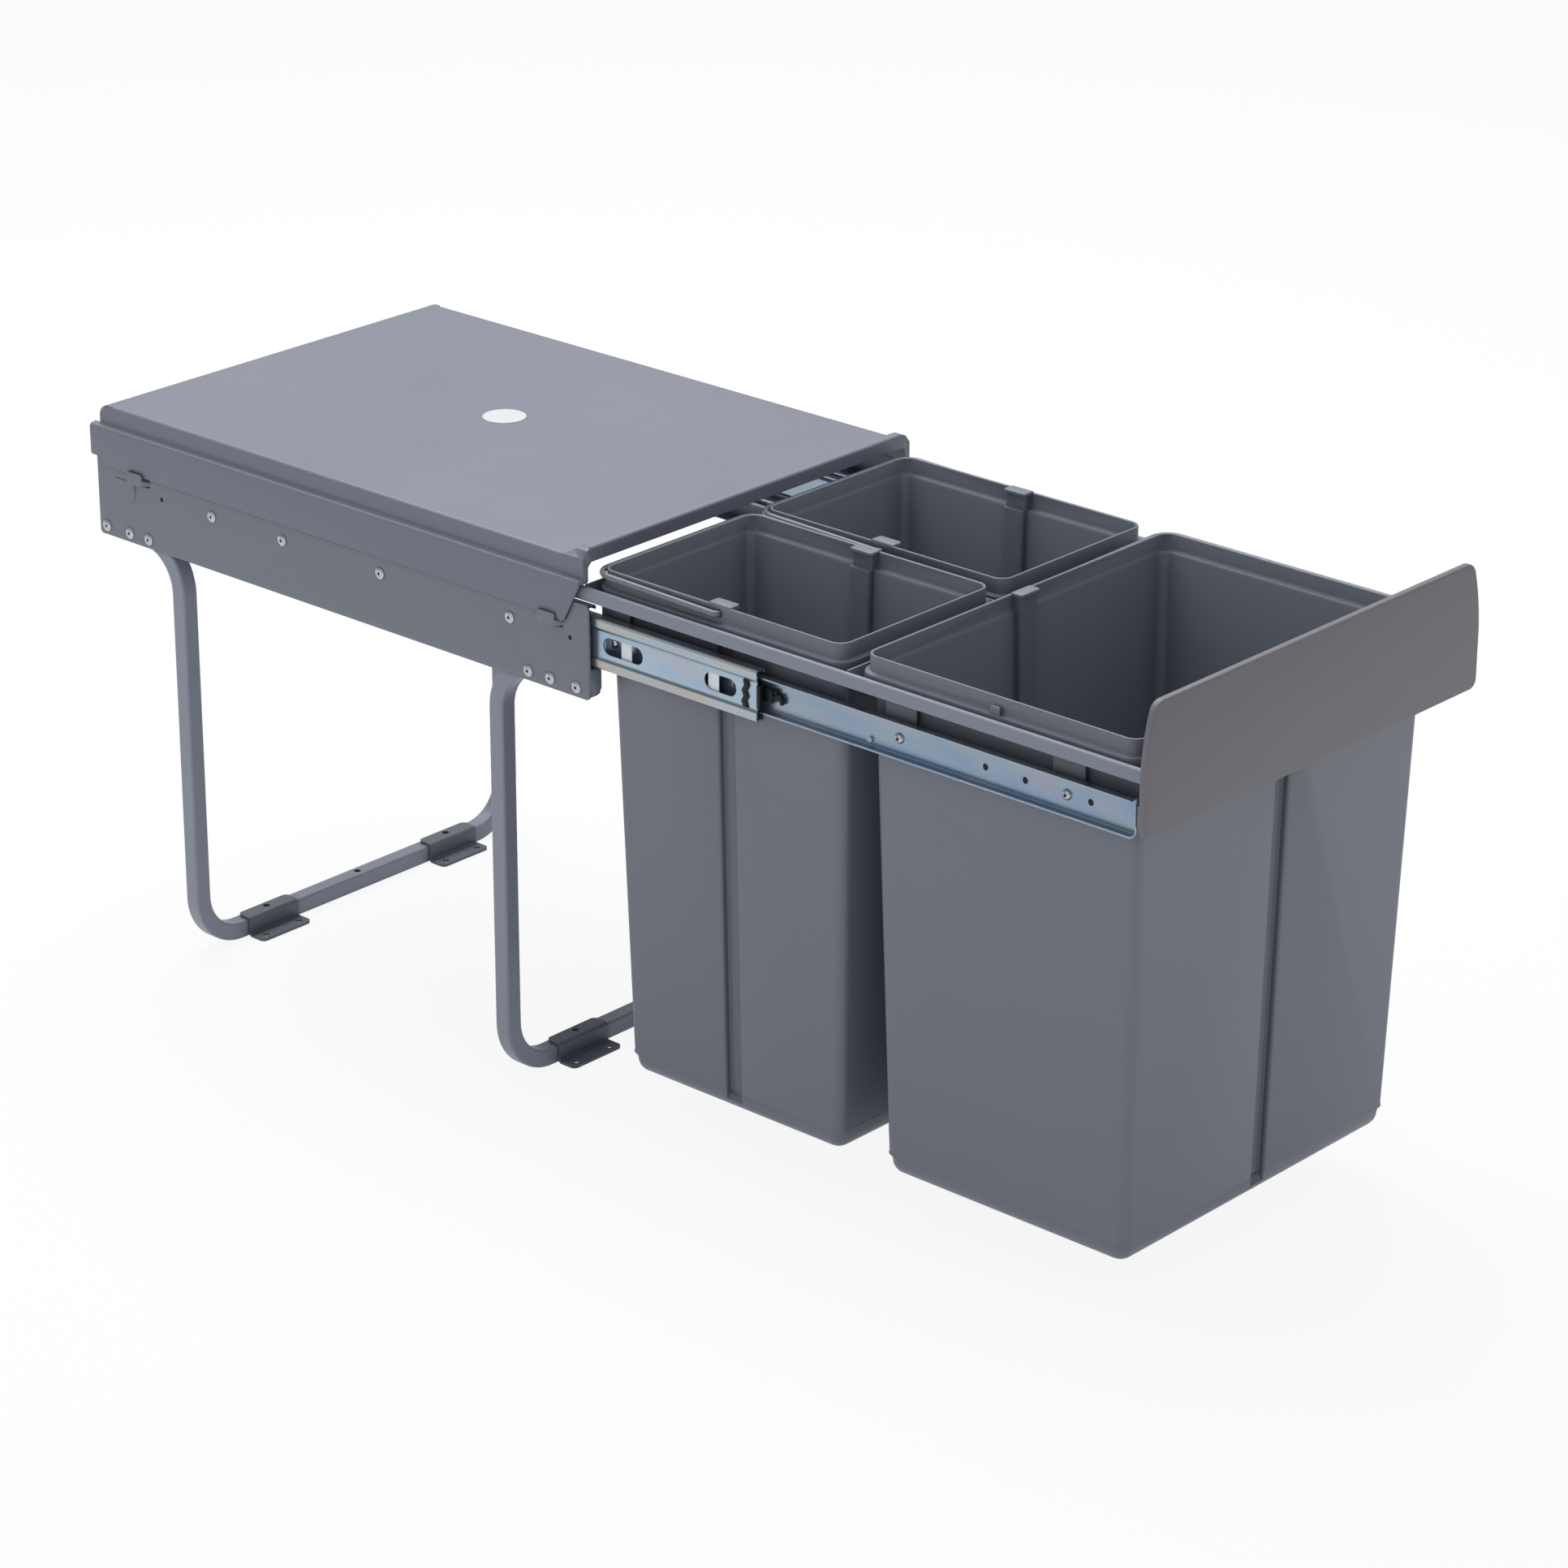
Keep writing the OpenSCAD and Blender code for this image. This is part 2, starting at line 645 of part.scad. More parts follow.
// one leg: a tube bent from one side panel down, across the floor and up to the other
module leg(y, way, end_y) {
  run = leg_x - tube_bend;
  side_low = tube / 2 + tube_bend;
  side_high = leg_top_z - tube_bend;
  color("#6b7179") difference() {
    union() {
      translate([-run, y, tube / 2]) rotate([90, 0, 90]) linear_extrude(2 * run) tube_section();
      for (side = [-1, 1]) {
        translate([side * run, y, side_low]) rotate([90, side > 0 ? 90 : 180, 0])
          rotate_extrude(angle = 90) translate([tube_bend, 0]) tube_section();
        translate([side * leg_x, y, side_low]) linear_extrude(side_high - side_low) tube_section();
        translate([side * leg_x, y + way * tube_bend, side_high]) rotate([0, 0, way > 0 ? 180 : 0])
          top_bend();
        along_y(min(y + way * tube_bend, end_y), max(y + way * tube_bend, end_y))
          translate([side * leg_x, leg_top_z]) tube_section();
      }
    }
    translate([0, y, tube / 2]) cylinder(h = tube, d = centre_hole);
    for (side = [-1, 1]) {
      translate([side * foot_x, y, tube / 2]) cylinder(h = tube, d = centre_hole);
      for (at = leg_rivet_ys) {
        pin_x(side > 0 ? leg_x : -panel_in - 1, side > 0 ? panel_in + 1 : -leg_x, at, leg_top_z,
          rivet_hole);
      }
    }
  }
}

// a quarter bend from upright, at +Y of its centre, over to level
module top_bend() {
  rotate([90, 0, 90]) rotate_extrude(angle = 90) translate([tube_bend, 0]) tube_section();
}

// a bracket over the leg, with two holes for floor screws
module foot(x, y) {
  top = tube + foot_sheet;
  mid = foot_sheet / 2;
  front = y - foot_hole_offset - foot_edge;
  back = y + tube / 2 - 1.5;
  color("#5c6168") difference() {
    intersection() {
      along_x(x - foot_length / 2, x + foot_length / 2) strip([
        [back, top - mid], [y - tube / 2 - mid, top - mid], [y - tube / 2 - mid, mid], [front, mid]],
        foot_sheet, foot_sheet);
      translate([x, (front + back) / 2, -1]) linear_extrude(top + 2)
        rounded_rect(foot_length, back - front, 4);
    }
    for (side = [-1, 1]) {
      translate([x + side * foot_hole_pitch / 2, y - foot_hole_offset, -1])
        cylinder(h = foot_sheet + 2, d = foot_hole);
    }
    translate([x, y, tube - 1]) cylinder(h = foot_sheet + 2, d = centre_hole);
  }
}

// a blind rivet through a side panel at the left, its head outside and its tail at the depth given
module panel_rivet(y, z, tail_x, tail_rise) {
  difference() {
    union() {
      translate([-panel_out, y, z]) rotate([0, -90, 0])
        cylinder(h = rivet_rise, d1 = rivet_head, d2 = rivet_head - 1.6);
      pin_x(-panel_out, tail_x, y, z, rivet_shank);
      if (tail_rise > 0) pin_x(tail_x, tail_x + tail_rise, y, z, rivet_shank + 1.6);
    }
    pin_x(-panel_out - rivet_rise - 1, -panel_in, y, z, 2.2);
  }
}

module slide_rivets() {
  color("#c8cacd") for (side = [0, 1]) mirror([side, 0, 0]) {
    for (y = slide_rivet_ys) panel_rivet(y, slide_z, -panel_in + slide_sheet, 0);
  }
}

module leg_rivets() {
  color("#c8cacd") for (side = [0, 1]) mirror([side, 0, 0]) {
    for (y = leg_rivet_ys) panel_rivet(y, leg_top_z, -panel_in + tube_wall, 2);
  }
}

// the slides

// carries a section drawn in u and w along the left slide
module slide_run(y0, y1) {
  along_y(y0, y1) translate([-panel_in, slide_z]) children();
}

module slide_outer() {
  half = slide_height / 2 - slide_sheet / 2;
  edge = outer_depth - slide_sheet / 2;
  color("#a8adb3") difference() {
    slide_run(slide_front, slide_front + slide_length) strip([
      [edge, half + slide_sheet / 2 - outer_lip], [edge, half], [slide_sheet / 2, half],
      [slide_sheet / 2, -half], [edge, -half], [edge, -half - slide_sheet / 2 + outer_lip]],
      slide_sheet, slide_sheet);
    for (y = slide_rivet_ys) pin_x(-panel_in - 1, -panel_in + 2, y, slide_z, rivet_hole);
  }
}

module slide_middle() {
  half = middle_w - slide_sheet / 2;
  edge = middle_depth - slide_sheet / 2;
  band = middle_band_u + slide_sheet / 2;
  web = middle_web_u + slide_sheet / 2;
  web_half = middle_w - 7.5;
  color("#a8adb3") difference() {
    slide_run(middle_front, middle_front + middle_length) strip([
      [edge, half - 2.2], [edge, half], [band, half], [band, web_half + 1], [web, web_half - 1],
      [web, -web_half + 1], [band, -web_half - 1], [band, -half], [edge, -half], [edge, -half + 2.2]],
      slide_sheet, slide_sheet, 3);
    for (i = [0:len(slot_setbacks) - 1]) {
      y0 = middle_front + slot_setbacks[i];
      slot(y0, y0 + slot_lengths[i]);
    }
  }
}

module slot(y0, y1) {
  x = -panel_in + middle_band_u - 1;
  depth = slide_sheet + 3;
  block(x, x + depth, y0 + slot_height / 2, y1 - slot_height / 2,
    slide_z - slot_height / 2, slide_z + slot_height / 2);
  for (y = [y0 + slot_height / 2, y1 - slot_height / 2]) pin_x(x, x + depth, y, slide_z, slot_height);
}

module slide_inner() {
  half = inner_w - slide_sheet / 2;
  web = inner_web_u + slide_sheet / 2;
  web_x = -panel_in + inner_web_u;
  color("#a8adb3") {
    difference() {
      slide_run(inner_front, inner_front + inner_length) strip([
        [inner_flange_u, half], [web, half], [web, -half], [inner_flange_u, -half]],
        slide_sheet, slide_sheet);
      for (y = hanger_ys) pin_x(web_x - 1, web_x + 3, y, slide_z, rivet_hole);
      for (at = inner_hole_setbacks) pin_x(web_x - 1, web_x + 3, inner_front + at, slide_z, inner_hole);
      pin_x(web_x - 1, web_x + 3, lever_y, slide_z, lever_pin + 0.2);
    }
    // the stop, pushed out of the web
    pin_x(web_x - 1.6, web_x + slide_sheet / 2, inner_front + stop_setback, slide_z - 7, 4);
  }
}

// a cage for two rows of balls: a bent strip with a hole for each ball
module cage(y0, length, web_u, ball_u, ball_w, ball, count) {
  edge = ball_u + ball / 2 + 0.1;
  color("#8b8f95") difference() {
    slide_run(y0, y0 + length) strip([
      [edge, ball_w], [web_u + cage_sheet / 2, ball_w],
      [web_u + cage_sheet / 2, -ball_w], [edge, -ball_w]], cage_sheet, 0.8, 3);
    at_balls(y0, length, ball_u, ball_w, count)
      cylinder(h = ball, d = ball + 0.3, center = true);
  }
}

module at_balls(y0, length, ball_u, ball_w, count) {
  for (i = [0:count - 1], side = [-1, 1]) {
    translate([-panel_in + ball_u, y0 + length * (i + 0.5) / count, slide_z + side * ball_w]) children();
  }
}

module cage_outer() {
  cage(outer_cage_front, outer_cage_length, outer_cage_u, outer_ball_u, outer_ball_w, outer_ball,
    outer_ball_count);
}

module cage_inner() {
  difference() {
    cage(inner_cage_front, inner_cage_length, inner_cage_u, inner_ball_u, inner_ball_w, inner_ball,
      inner_ball_count);
    // windows that leave a bar across the cage at every pair of balls
    pitch = inner_cage_length / inner_ball_count;
    for (i = [1:inner_ball_count - 1]) {
      y = inner_cage_front + i * pitch;
      block(-panel_in + inner_cage_u - 1, -panel_in + inner_cage_u + 2, y - pitch / 2 + 5,
        y + pitch / 2 - 5, slide_z - 8, slide_z + 8);
    }
  }
}

module balls_outer() {
  color("#d0d2d4") at_balls(outer_cage_front, outer_cage_length, outer_ball_u, outer_ball_w,
    outer_ball_count) sphere(d = outer_ball);
}

module balls_inner() {
  color("#d0d2d4") at_balls(inner_cage_front, inner_cage_length, inner_ball_u, inner_ball_w,
    inner_ball_count) sphere(d = inner_ball);
}

// the plastic stop on the front end of the middle part
module bumper() {
  x = -panel_in + middle_web_u + slide_sheet;
  color("#1c1d1f") {
    block(-panel_in + middle_band_u, x + 1.1, middle_front - 3, middle_front, slide_z - 8, slide_z + 8);
    block(x, x + 1.1, middle_front - 0.5, middle_front + bumper_reach, slide_z - 6, slide_z + 6);
  }
}

// the plastic lever in the inner part's channel that releases the slide, with its own pin
module release_lever() {
  web_x = -panel_in + inner_web_u;
  color("#1c1d1f") {
    along_x(web_x - 3.5, web_x - 0.3) outline([
      [lever_y - 20, slide_z - 1.5, 1], [lever_y - 20, slide_z + 5, 2],
      [lever_y - 6, slide_z + 5.5, 2], [lever_y + 20, slide_z + 4, 2],
      [lever_y + 23, slide_z - 1, 1], [lever_y + 8, slide_z - 4, 2], [lever_y - 6, slide_z - 4, 2]]);
    pin_x(web_x - 1, web_x + slide_sheet, lever_y, slide_z, lever_pin);
  }
}

// the carriage

// a ledge for the bins with a fin beside it, folded over outwards along its top
module side_rail() {
  ledge_mid = ledge_z + sheet / 2;
  fin_mid = fin_out - sheet / 2;
  leaf_mid = fin_in + hem_width - sheet / 2;
  top_mid = rail_top - sheet / 2;
  color("#7a7e86") along_y(panel_back, carriage_rear + rail_tail) strip([
    [-hanger_in, ledge_mid], [-fin_mid, ledge_mid], [-fin_mid, top_mid],
    [-leaf_mid, top_mid], [-leaf_mid, rail_top - hem_depth]], sheet, (leaf_mid - fin_mid) / 2);
}

// a rail across the carriage; way is the direction of its ledge
module end_rail(fin_face, way) {
  fin_mid = fin_face - way * sheet / 2;
  ledge_mid = ledge_z + sheet / 2;
  color("#7a7e86") difference() {
    along_x(-fin_in, fin_in) strip([
      [fin_mid, rail_top], [fin_mid, ledge_mid],
      [fin_face + way * bar_ledge, ledge_mid]], sheet, 1.2);
    for (side = [0, 1]) mirror([side, 0, 0]) {
      block(-fin_in - 1, -hanger_in, fin_mid - 20, fin_mid + 20, ledge_z - 1, seat_z + touch / 2);
    }
  }
}

module cross_bar() {
  color("#7a7e86") {
    block(-hanger_in, hanger_in, cross_y - bar_ledge - sheet / 2, cross_y + bar_ledge + sheet / 2,
      ledge_z, seat_z);
    block(-fin_in, fin_in, cross_y - sheet / 2, cross_y + sheet / 2, seat_z, rail_top);
  }
}

module centre_bar() {
  bar_front = cross_y + sheet / 2 + bar_ledge;
  bar_rear = rear_fin - bar_ledge;
  color("#7a7e86") {
    block(-sheet / 2 - bar_ledge, sheet / 2 + bar_ledge, bar_front, bar_rear, ledge_z, seat_z);
    block(-sheet / 2, sheet / 2, cross_y + sheet / 2, rear_fin, seat_z, rail_top);
  }
}

module hangers() {
  color("#7a7e86") for (y = hanger_ys) difference() {
    along_x(-hanger_out, -hanger_in) outline([
      [y - hanger_width / 2, ledge_z, 0], [y + hanger_width / 2, ledge_z, 0],
      [y + hanger_width / 2, ledge_z - hanger_drop, 4],
      [y - hanger_width / 2, ledge_z - hanger_drop, 4]]);
    pin_x(-hanger_out - 1, -hanger_in + 1, y, slide_z, rivet_hole);
  }
}

module hanger_rivets() {
  web_x = -panel_in + inner_web_u;
  color("#c8cacd") for (side = [0, 1]) mirror([side, 0, 0]) for (y = hanger_ys) {
    translate([web_x, y, slide_z]) rotate([0, -90, 0])
      cylinder(h = rivet_rise, d1 = rivet_head - 1, d2 = rivet_head - 2.6);
    pin_x(web_x, -hanger_in, y, slide_z, rivet_shank);
    pin_x(-hanger_in, -hanger_in + 0.8, y, slide_z, rivet_shank + 1.6);
  }
}

// joins the inner part of a slide to the back of the front panel
module front_bracket() {
  low = slide_z - 7;
  high = slide_z + 7;
  color("#7a7e86") difference() {
    along_z(low, high) strip([
      [-hanger_in - sheet / 2, inner_front + bracket_reach], [-hanger_in - sheet / 2, panel_back + sheet / 2],
      [-hanger_in + 22, panel_back + sheet / 2]], sheet, 1.6);
    pin_y(panel_back - 1, panel_back + sheet + 1, -bracket_screw_x, slide_z, screw_shank + 0.2);
    pin_x(-hanger_out - 1, -hanger_in + 1, inner_front + bracket_hole_setback, slide_z, 4);
  }
}

module along_z(z0, z1) {
  translate([0, 0, z0]) linear_extrude(z1 - z0) children();
}

module front_screws() {
  color("#c8cacd") for (side = [-1, 1]) {
    pin_y(panel_back - 4, panel_back + sheet, side * bracket_screw_x, slide_z, screw_shank);
    pin_y(panel_back + sheet, panel_back + sheet + 2.4, side * bracket_screw_x, slide_z, screw_shank + 3.4);
  }
}

module front_panel() {
  low = ledge_z - front_drop;
  color("#77797f") difference() {
    along_y(front_face, panel_back) outline([
      [-front_half, low, front_corner],
      [-front_half, low + front_straight, 30],
      [-front_half + front_top_inset, low + front_height, front_corner],
      [front_half - front_top_inset, low + front_height, front_corner],
      [front_half, low + front_straight, 30],
      [front_half, low, front_corner]], 8);
    for (side = [-1, 1]) {
      pin_y(panel_back - 4.2, panel_back + 1, side * bracket_screw_x, slide_z, screw_shank + 0.1);
    }
  }
}

// the bins

module at_corners(w, d, r) {
  for (x = [-1, 1], y = [-1, 1]) translate([x * (w / 2 - r), y * (d / 2 - r), 0]) children();
}

// a bin about the middle of its rim: w and step_w across its two grooved walls, d and step_d the
// other way
module bin(w, d, step_w, step_d) {
  body_w = w - 2 * step_w;
  body_d = d - 2 * step_d;
  low_w = body_w - 2 * bin_lean;
  low_d = body_d - 2 * bin_lean;
  base_w = low_w - 2 * base_step;
  base_d = low_d - 2 * base_step;
  body_z = bin_bottom + base_height;
  slab = 0.2;
  flange_low = flange_z - bin_wall;
  lip_w = w + 2 * bin_flange;
  lip_d = d + 2 * bin_flange;
  lip_corner = rim_corner + bin_flange;
  color("#6f7379") difference() {
    union() {
      // the stepped base with its round lower edge
      hull() {
        translate([0, 0, bin_bottom + base_round]) at_corners(base_w, base_d, base_round)
          sphere(base_round, $fn = 32);
        translate([0, 0, body_z]) linear_extrude(slab)
          rounded_rect(base_w, base_d, body_corner, $fn = 32);
      }
      // the walls
      hull() {
        translate([0, 0, body_z]) linear_extrude(slab)
          rounded_rect(low_w, low_d, body_corner, $fn = 32);
        translate([0, 0, flange_low]) linear_extrude(slab)
          rounded_rect(body_w, body_d, body_corner, $fn = 32);
      }
      // the flange with its lip, the collar and the caps
      difference() {
        translate([0, 0, flange_z - flange_lip]) linear_extrude(flange_lip)
          rounded_rect(lip_w, lip_d, lip_corner);
        translate([0, 0, flange_z - flange_lip - 1]) linear_extrude(flange_lip + 1 - bin_wall)
          rounded_rect(lip_w - 2 * lip_wall, lip_d - 2 * lip_wall, lip_corner - lip_wall);
      }
      translate([0, 0, flange_low]) linear_extrude(rim_z - flange_low) rounded_rect(w, d, rim_corner);
      for (side = [0, 1]) mirror([side, 0, 0]) {
        block(-w / 2, -w / 2 + cap_reach, -cap_half, cap_half, rim_z + cap_rise - cap_thick,
          rim_z + cap_rise);
      }
    }
    // the inside, less the two columns behind the grooves
    difference() {
      union() {
        hull() {
          translate([0, 0, bin_bottom + base_round])
            at_corners(base_w - 2 * bin_wall, base_d - 2 * bin_wall, base_round - bin_wall)
            sphere(base_round - bin_wall, $fn = 32);
          translate([0, 0, flange_z]) linear_extrude(slab)
            rounded_rect(body_w - 2 * bin_wall, body_d - 2 * bin_wall, body_corner - bin_wall, $fn = 32);
        }
        translate([0, 0, flange_z]) linear_extrude(rim_z) rounded_rect(w - 2 * bin_wall, d - 2 * bin_wall,
          rim_corner - bin_wall);
      }
      for (side = [0, 1]) mirror([side, 0, 0]) column(w, body_w);
    }
    for (side = [0, 1]) mirror([side, 0, 0]) {
      groove(body_w, flange_low);
      pin_x(-w / 2 - 1, -w / 2 + pin_reach + 1, 0, pivot_z, wire + 2 * pivot_play);
    }
  }
}

// the column inside the left wall, with an upright head under the cap
module column(w, body_w) {
  half = groove_width / 2 + bin_wall;
  translate([-body_w / 2 + bin_wall, 0, flange_z]) rotate([0, -column_angle, 0])
    translate([-10, -half, -bin_height]) cube([10 + groove_depth, 2 * half, bin_height - 0.5]);
  block(-w / 2, -w / 2 + cap_reach - head_setback, -cap_half, cap_half, flange_z - 1.5,
    rim_z + cap_rise + 1);
}

// the groove in the outside of the left wall
module groove(body_w, top_z) {
  translate([-body_w / 2, 0, top_z]) rotate([0, -lean_angle, 0])
    translate([-10, -groove_width / 2, -bin_height + base_height + collar_height + 6])
    cube([10 + groove_depth, groove_width, bin_height - base_height - collar_height - 6]);
}

// a wire handle about its pivot, lying back along +Y, for a bin of w across the pivots
module handle(w, d) {
  arm_x = w / 2 + wire_gap + wire / 2;
  bar_y = d / 2 + wire_gap + wire / 2;
  round = rim_corner + wire_gap + wire / 2;
  hook = wire * 0.7;
  tilt = asin(bar_rise / bar_y);
  color("#7d838a") translate([0, 0, pivot_z]) rotate([tilt, 0, 0]) {
    translate([0, bar_y, 0]) rotate([0, 90, 0]) cylinder(h = 2 * (arm_x - round), d = wire, center = true);
    for (side = [0, 1]) mirror([side, 0, 0]) {
      translate([arm_x - round, bar_y - round, 0]) rotate_extrude(angle = 90)
        translate([round, 0]) circle(d = wire);
      pin_y(hook, bar_y - round, arm_x, 0, wire);
      translate([arm_x - hook, hook, 0]) rotate([0, 0, -90]) rotate_extrude(angle = 90)
        translate([hook, 0]) circle(d = wire);
      pin_x(w / 2 - pin_reach, arm_x - hook, 0, 0, wire);
    }
  }
}

module at_small(side) {
  translate([side * small_x, small_y, 0]) children();
}

module at_large() {
  translate([0, large_y, 0]) rotate([0, 0, -90]) children();
}

color("#6f737b") side_panel();  // side_panel_left
right_side() color("#6f737b") side_panel();  // side_panel_right
lid_cover();
leg(leg_front_y, -1, panel_front + leg_end_gap);  // leg_front
leg(leg_rear_y, 1, panel_rear - leg_end_gap);  // leg_rear
foot(-foot_x, leg_front_y);  // foot_front_left
foot(foot_x, leg_front_y);  // foot_front_right
foot(-foot_x, leg_rear_y);  // foot_rear_left
foot(foot_x, leg_rear_y);  // foot_rear_right
slide_rivets();
leg_rivets();
slide_outer();  // slide_outer_left
right_side() slide_outer();  // slide_outer_right
slide_middle();  // slide_middle_left
right_side() slide_middle();  // slide_middle_right
slide_inner();  // slide_inner_left
right_side() slide_inner();  // slide_inner_right
cage_outer();  // cage_outer_left
right_side() cage_outer();  // cage_outer_right
cage_inner();  // cage_inner_left
right_side() cage_inner();  // cage_inner_right
balls_outer();  // balls_outer_left
right_side() balls_outer();  // balls_outer_right
balls_inner();  // balls_inner_left
right_side() balls_inner();  // balls_inner_right
bumper();  // bumper_left
right_side() bumper();  // bumper_right
release_lever();  // release_lever_left
right_side() release_lever();  // release_lever_right
side_rail();  // side_rail_left
right_side() side_rail();  // side_rail_right
end_rail(front_fin, 1);  // front_rail
end_rail(rear_fin, -1);  // rear_rail
cross_bar();
centre_bar();
hangers();  // hangers_left
right_side() hangers();  // hangers_right
hanger_rivets();
front_bracket();  // front_bracket_left
right_side() front_bracket();  // front_bracket_right
front_screws();
front_panel();
at_large() bin(large_depth, large_width, end_step, large_side_step);  // bin_large
union() {  // bin_small_left
  at_small(-1) bin(small_width, small_depth, small_side_step, end_step);
}
union() {  // bin_small_right
  at_small(1) bin(small_width, small_depth, small_side_step, end_step);
}
at_large() handle(large_depth, large_width);  // handle_large
at_small(-1) handle(small_width, small_depth);  // handle_small_left
at_small(1) handle(small_width, small_depth);  // handle_small_right
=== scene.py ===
import math
import bpy
from mathutils import Matrix, Vector


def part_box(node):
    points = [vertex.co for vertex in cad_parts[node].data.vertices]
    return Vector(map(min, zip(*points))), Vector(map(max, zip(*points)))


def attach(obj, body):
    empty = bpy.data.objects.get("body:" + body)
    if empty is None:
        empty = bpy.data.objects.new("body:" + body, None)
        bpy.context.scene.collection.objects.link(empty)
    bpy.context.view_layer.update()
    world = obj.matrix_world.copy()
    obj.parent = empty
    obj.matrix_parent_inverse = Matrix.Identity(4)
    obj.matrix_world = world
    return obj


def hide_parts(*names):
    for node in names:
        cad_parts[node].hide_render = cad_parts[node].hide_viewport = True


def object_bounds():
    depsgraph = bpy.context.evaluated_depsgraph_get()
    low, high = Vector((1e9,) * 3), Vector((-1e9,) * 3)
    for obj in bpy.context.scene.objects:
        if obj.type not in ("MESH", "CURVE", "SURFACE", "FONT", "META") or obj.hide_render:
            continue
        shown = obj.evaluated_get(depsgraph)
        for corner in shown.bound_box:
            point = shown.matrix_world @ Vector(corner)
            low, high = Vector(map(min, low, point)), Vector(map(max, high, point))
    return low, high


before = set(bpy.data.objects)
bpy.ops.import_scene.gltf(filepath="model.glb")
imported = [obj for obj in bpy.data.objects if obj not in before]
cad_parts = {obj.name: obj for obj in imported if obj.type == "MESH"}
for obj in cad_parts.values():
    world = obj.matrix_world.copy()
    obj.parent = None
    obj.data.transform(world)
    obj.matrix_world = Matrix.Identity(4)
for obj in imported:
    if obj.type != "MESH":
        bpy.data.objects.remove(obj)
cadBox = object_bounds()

print("frame loaded with", len(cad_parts), "parts")


# small helpers

def deselectAll():
    if bpy.context.object is not None and bpy.context.object.mode != "OBJECT":
        bpy.ops.object.mode_set(mode="OBJECT")
    bpy.ops.object.select_all(action="DESELECT")


def makeActive(obj):
    deselectAll()
    obj.select_set(True)
    bpy.context.view_layer.objects.active = obj


def applyPlace(obj):
    makeActive(obj)
    bpy.ops.object.transform_apply(location=True, rotation=True, scale=True)


def nameIt(obj, name):
    obj.name = name
    obj.data.name = name
    return obj


def addCube(name, low, high):
    low, high = Vector(low), Vector(high)
    deselectAll()
    bpy.ops.mesh.primitive_cube_add(size=1, location=(low + high) / 2)
    obj = nameIt(bpy.context.object, name)
    obj.scale = high - low
    applyPlace(obj)
    return obj


# a round pin along x
def addPin(name, sides, radius, long, place):
    deselectAll()
    bpy.ops.mesh.primitive_cylinder_add(vertices=sides, radius=radius, depth=long, location=place,
                                        rotation=(0, math.pi / 2, 0))
    pin = nameIt(bpy.context.object, name)
    applyPlace(pin)
    return pin


# points: test(place), edges: test(a, b), faces: test(centre, normal); leaves edit mode on
def pick(obj, kind, test):
    makeActive(obj)
    bpy.ops.object.mode_set(mode="EDIT")
    bpy.ops.mesh.select_mode(type=kind)
    bpy.ops.mesh.select_all(action="DESELECT")
    bpy.ops.object.mode_set(mode="OBJECT")
    mesh = obj.data
    if kind == "VERT":
        for point in mesh.vertices:
            point.select = bool(test(point.co))
    elif kind == "EDGE":
        for edge in mesh.edges:
            a, b = (mesh.vertices[i].co for i in edge.vertices)
            edge.select = bool(test(a, b))
    else:
        for face in mesh.polygons:
            face.select = bool(test(face.center, face.normal))
    bpy.ops.object.mode_set(mode="EDIT")


def editAll():
    bpy.ops.object.mode_set(mode="EDIT")
    bpy.ops.mesh.select_all(action="SELECT")


def done():
    bpy.ops.object.mode_set(mode="OBJECT")


def bevelPicked(width, segments=3):
    bpy.ops.mesh.bevel(offset=width, segments=segments, profile=0.5, affect="EDGES")
    done()


def joinAll(objs, name):
    deselectAll()
    for obj in objs:
        obj.select_set(True)
    bpy.context.view_layer.objects.active = objs[0]
    if len(objs) > 1:
        bpy.ops.object.join()
    return nameIt(bpy.context.object, name)


def combine(obj, tool, operation):
    makeActive(obj)
    step = obj.modifiers.new("cut", "BOOLEAN")
    step.operation = operation
    step.object = tool
    step.solver = "EXACT"
    step.use_self = True
    bpy.ops.object.modifier_apply(modifier=step.name)
    bpy.data.objects.remove(tool)


def cleanUp(obj, angle=35):
    makeActive(obj)
    editAll()
    bpy.ops.mesh.remove_doubles(threshold=0.00001)
    bpy.ops.mesh.normals_make_consistent(inside=False)
    done()
    bpy.ops.object.shade_smooth_by_angle(angle=math.radians(angle))


def finishPiece(obj, body, nodes, material):
    obj.data.materials.clear()
    obj.data.materials.append(material)
    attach(obj, body)
    if nodes:
        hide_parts(*nodes)


# camera, at the photograph's place

camera = {
    "place": (-2.39756, -2.41664, 1.55126),
    "ahead": (0.6853, 0.6181, -0.3851),
    "right": (0.6703, -0.7421, 0.0017),
    "lens": 117.73,
    "sensor": 36.0,
}
ahead = Vector(camera["ahead"]).normalized()
right = Vector(camera["right"])
right = (right - ahead * right.dot(ahead)).normalized()
up = right.cross(ahead)
turn = Matrix((right, up, -ahead)).transposed().to_4x4()
cameraData = bpy.data.cameras.new("camera")
cameraData.lens = camera["lens"]
cameraData.sensor_width = camera["sensor"]
cameraData.sensor_fit = "HORIZONTAL"
cameraData.clip_end = 50
cameraObject = bpy.data.objects.new("camera", cameraData)
cameraObject.matrix_world = Matrix.Translation(camera["place"]) @ turn
bpy.context.scene.collection.objects.link(cameraObject)
bpy.context.scene.camera = cameraObject
bpy.context.scene.view_settings.view_transform = "Standard"


# node tools

def addNode(tree, kind, **values):
    node = tree.nodes.new(kind)
    for key, value in values.items():
        setattr(node, key, value)
    return node


def setSocket(node, name, value):
    node.inputs[name].default_value = value


def link(tree, start, end):
    tree.links.new(start, end)


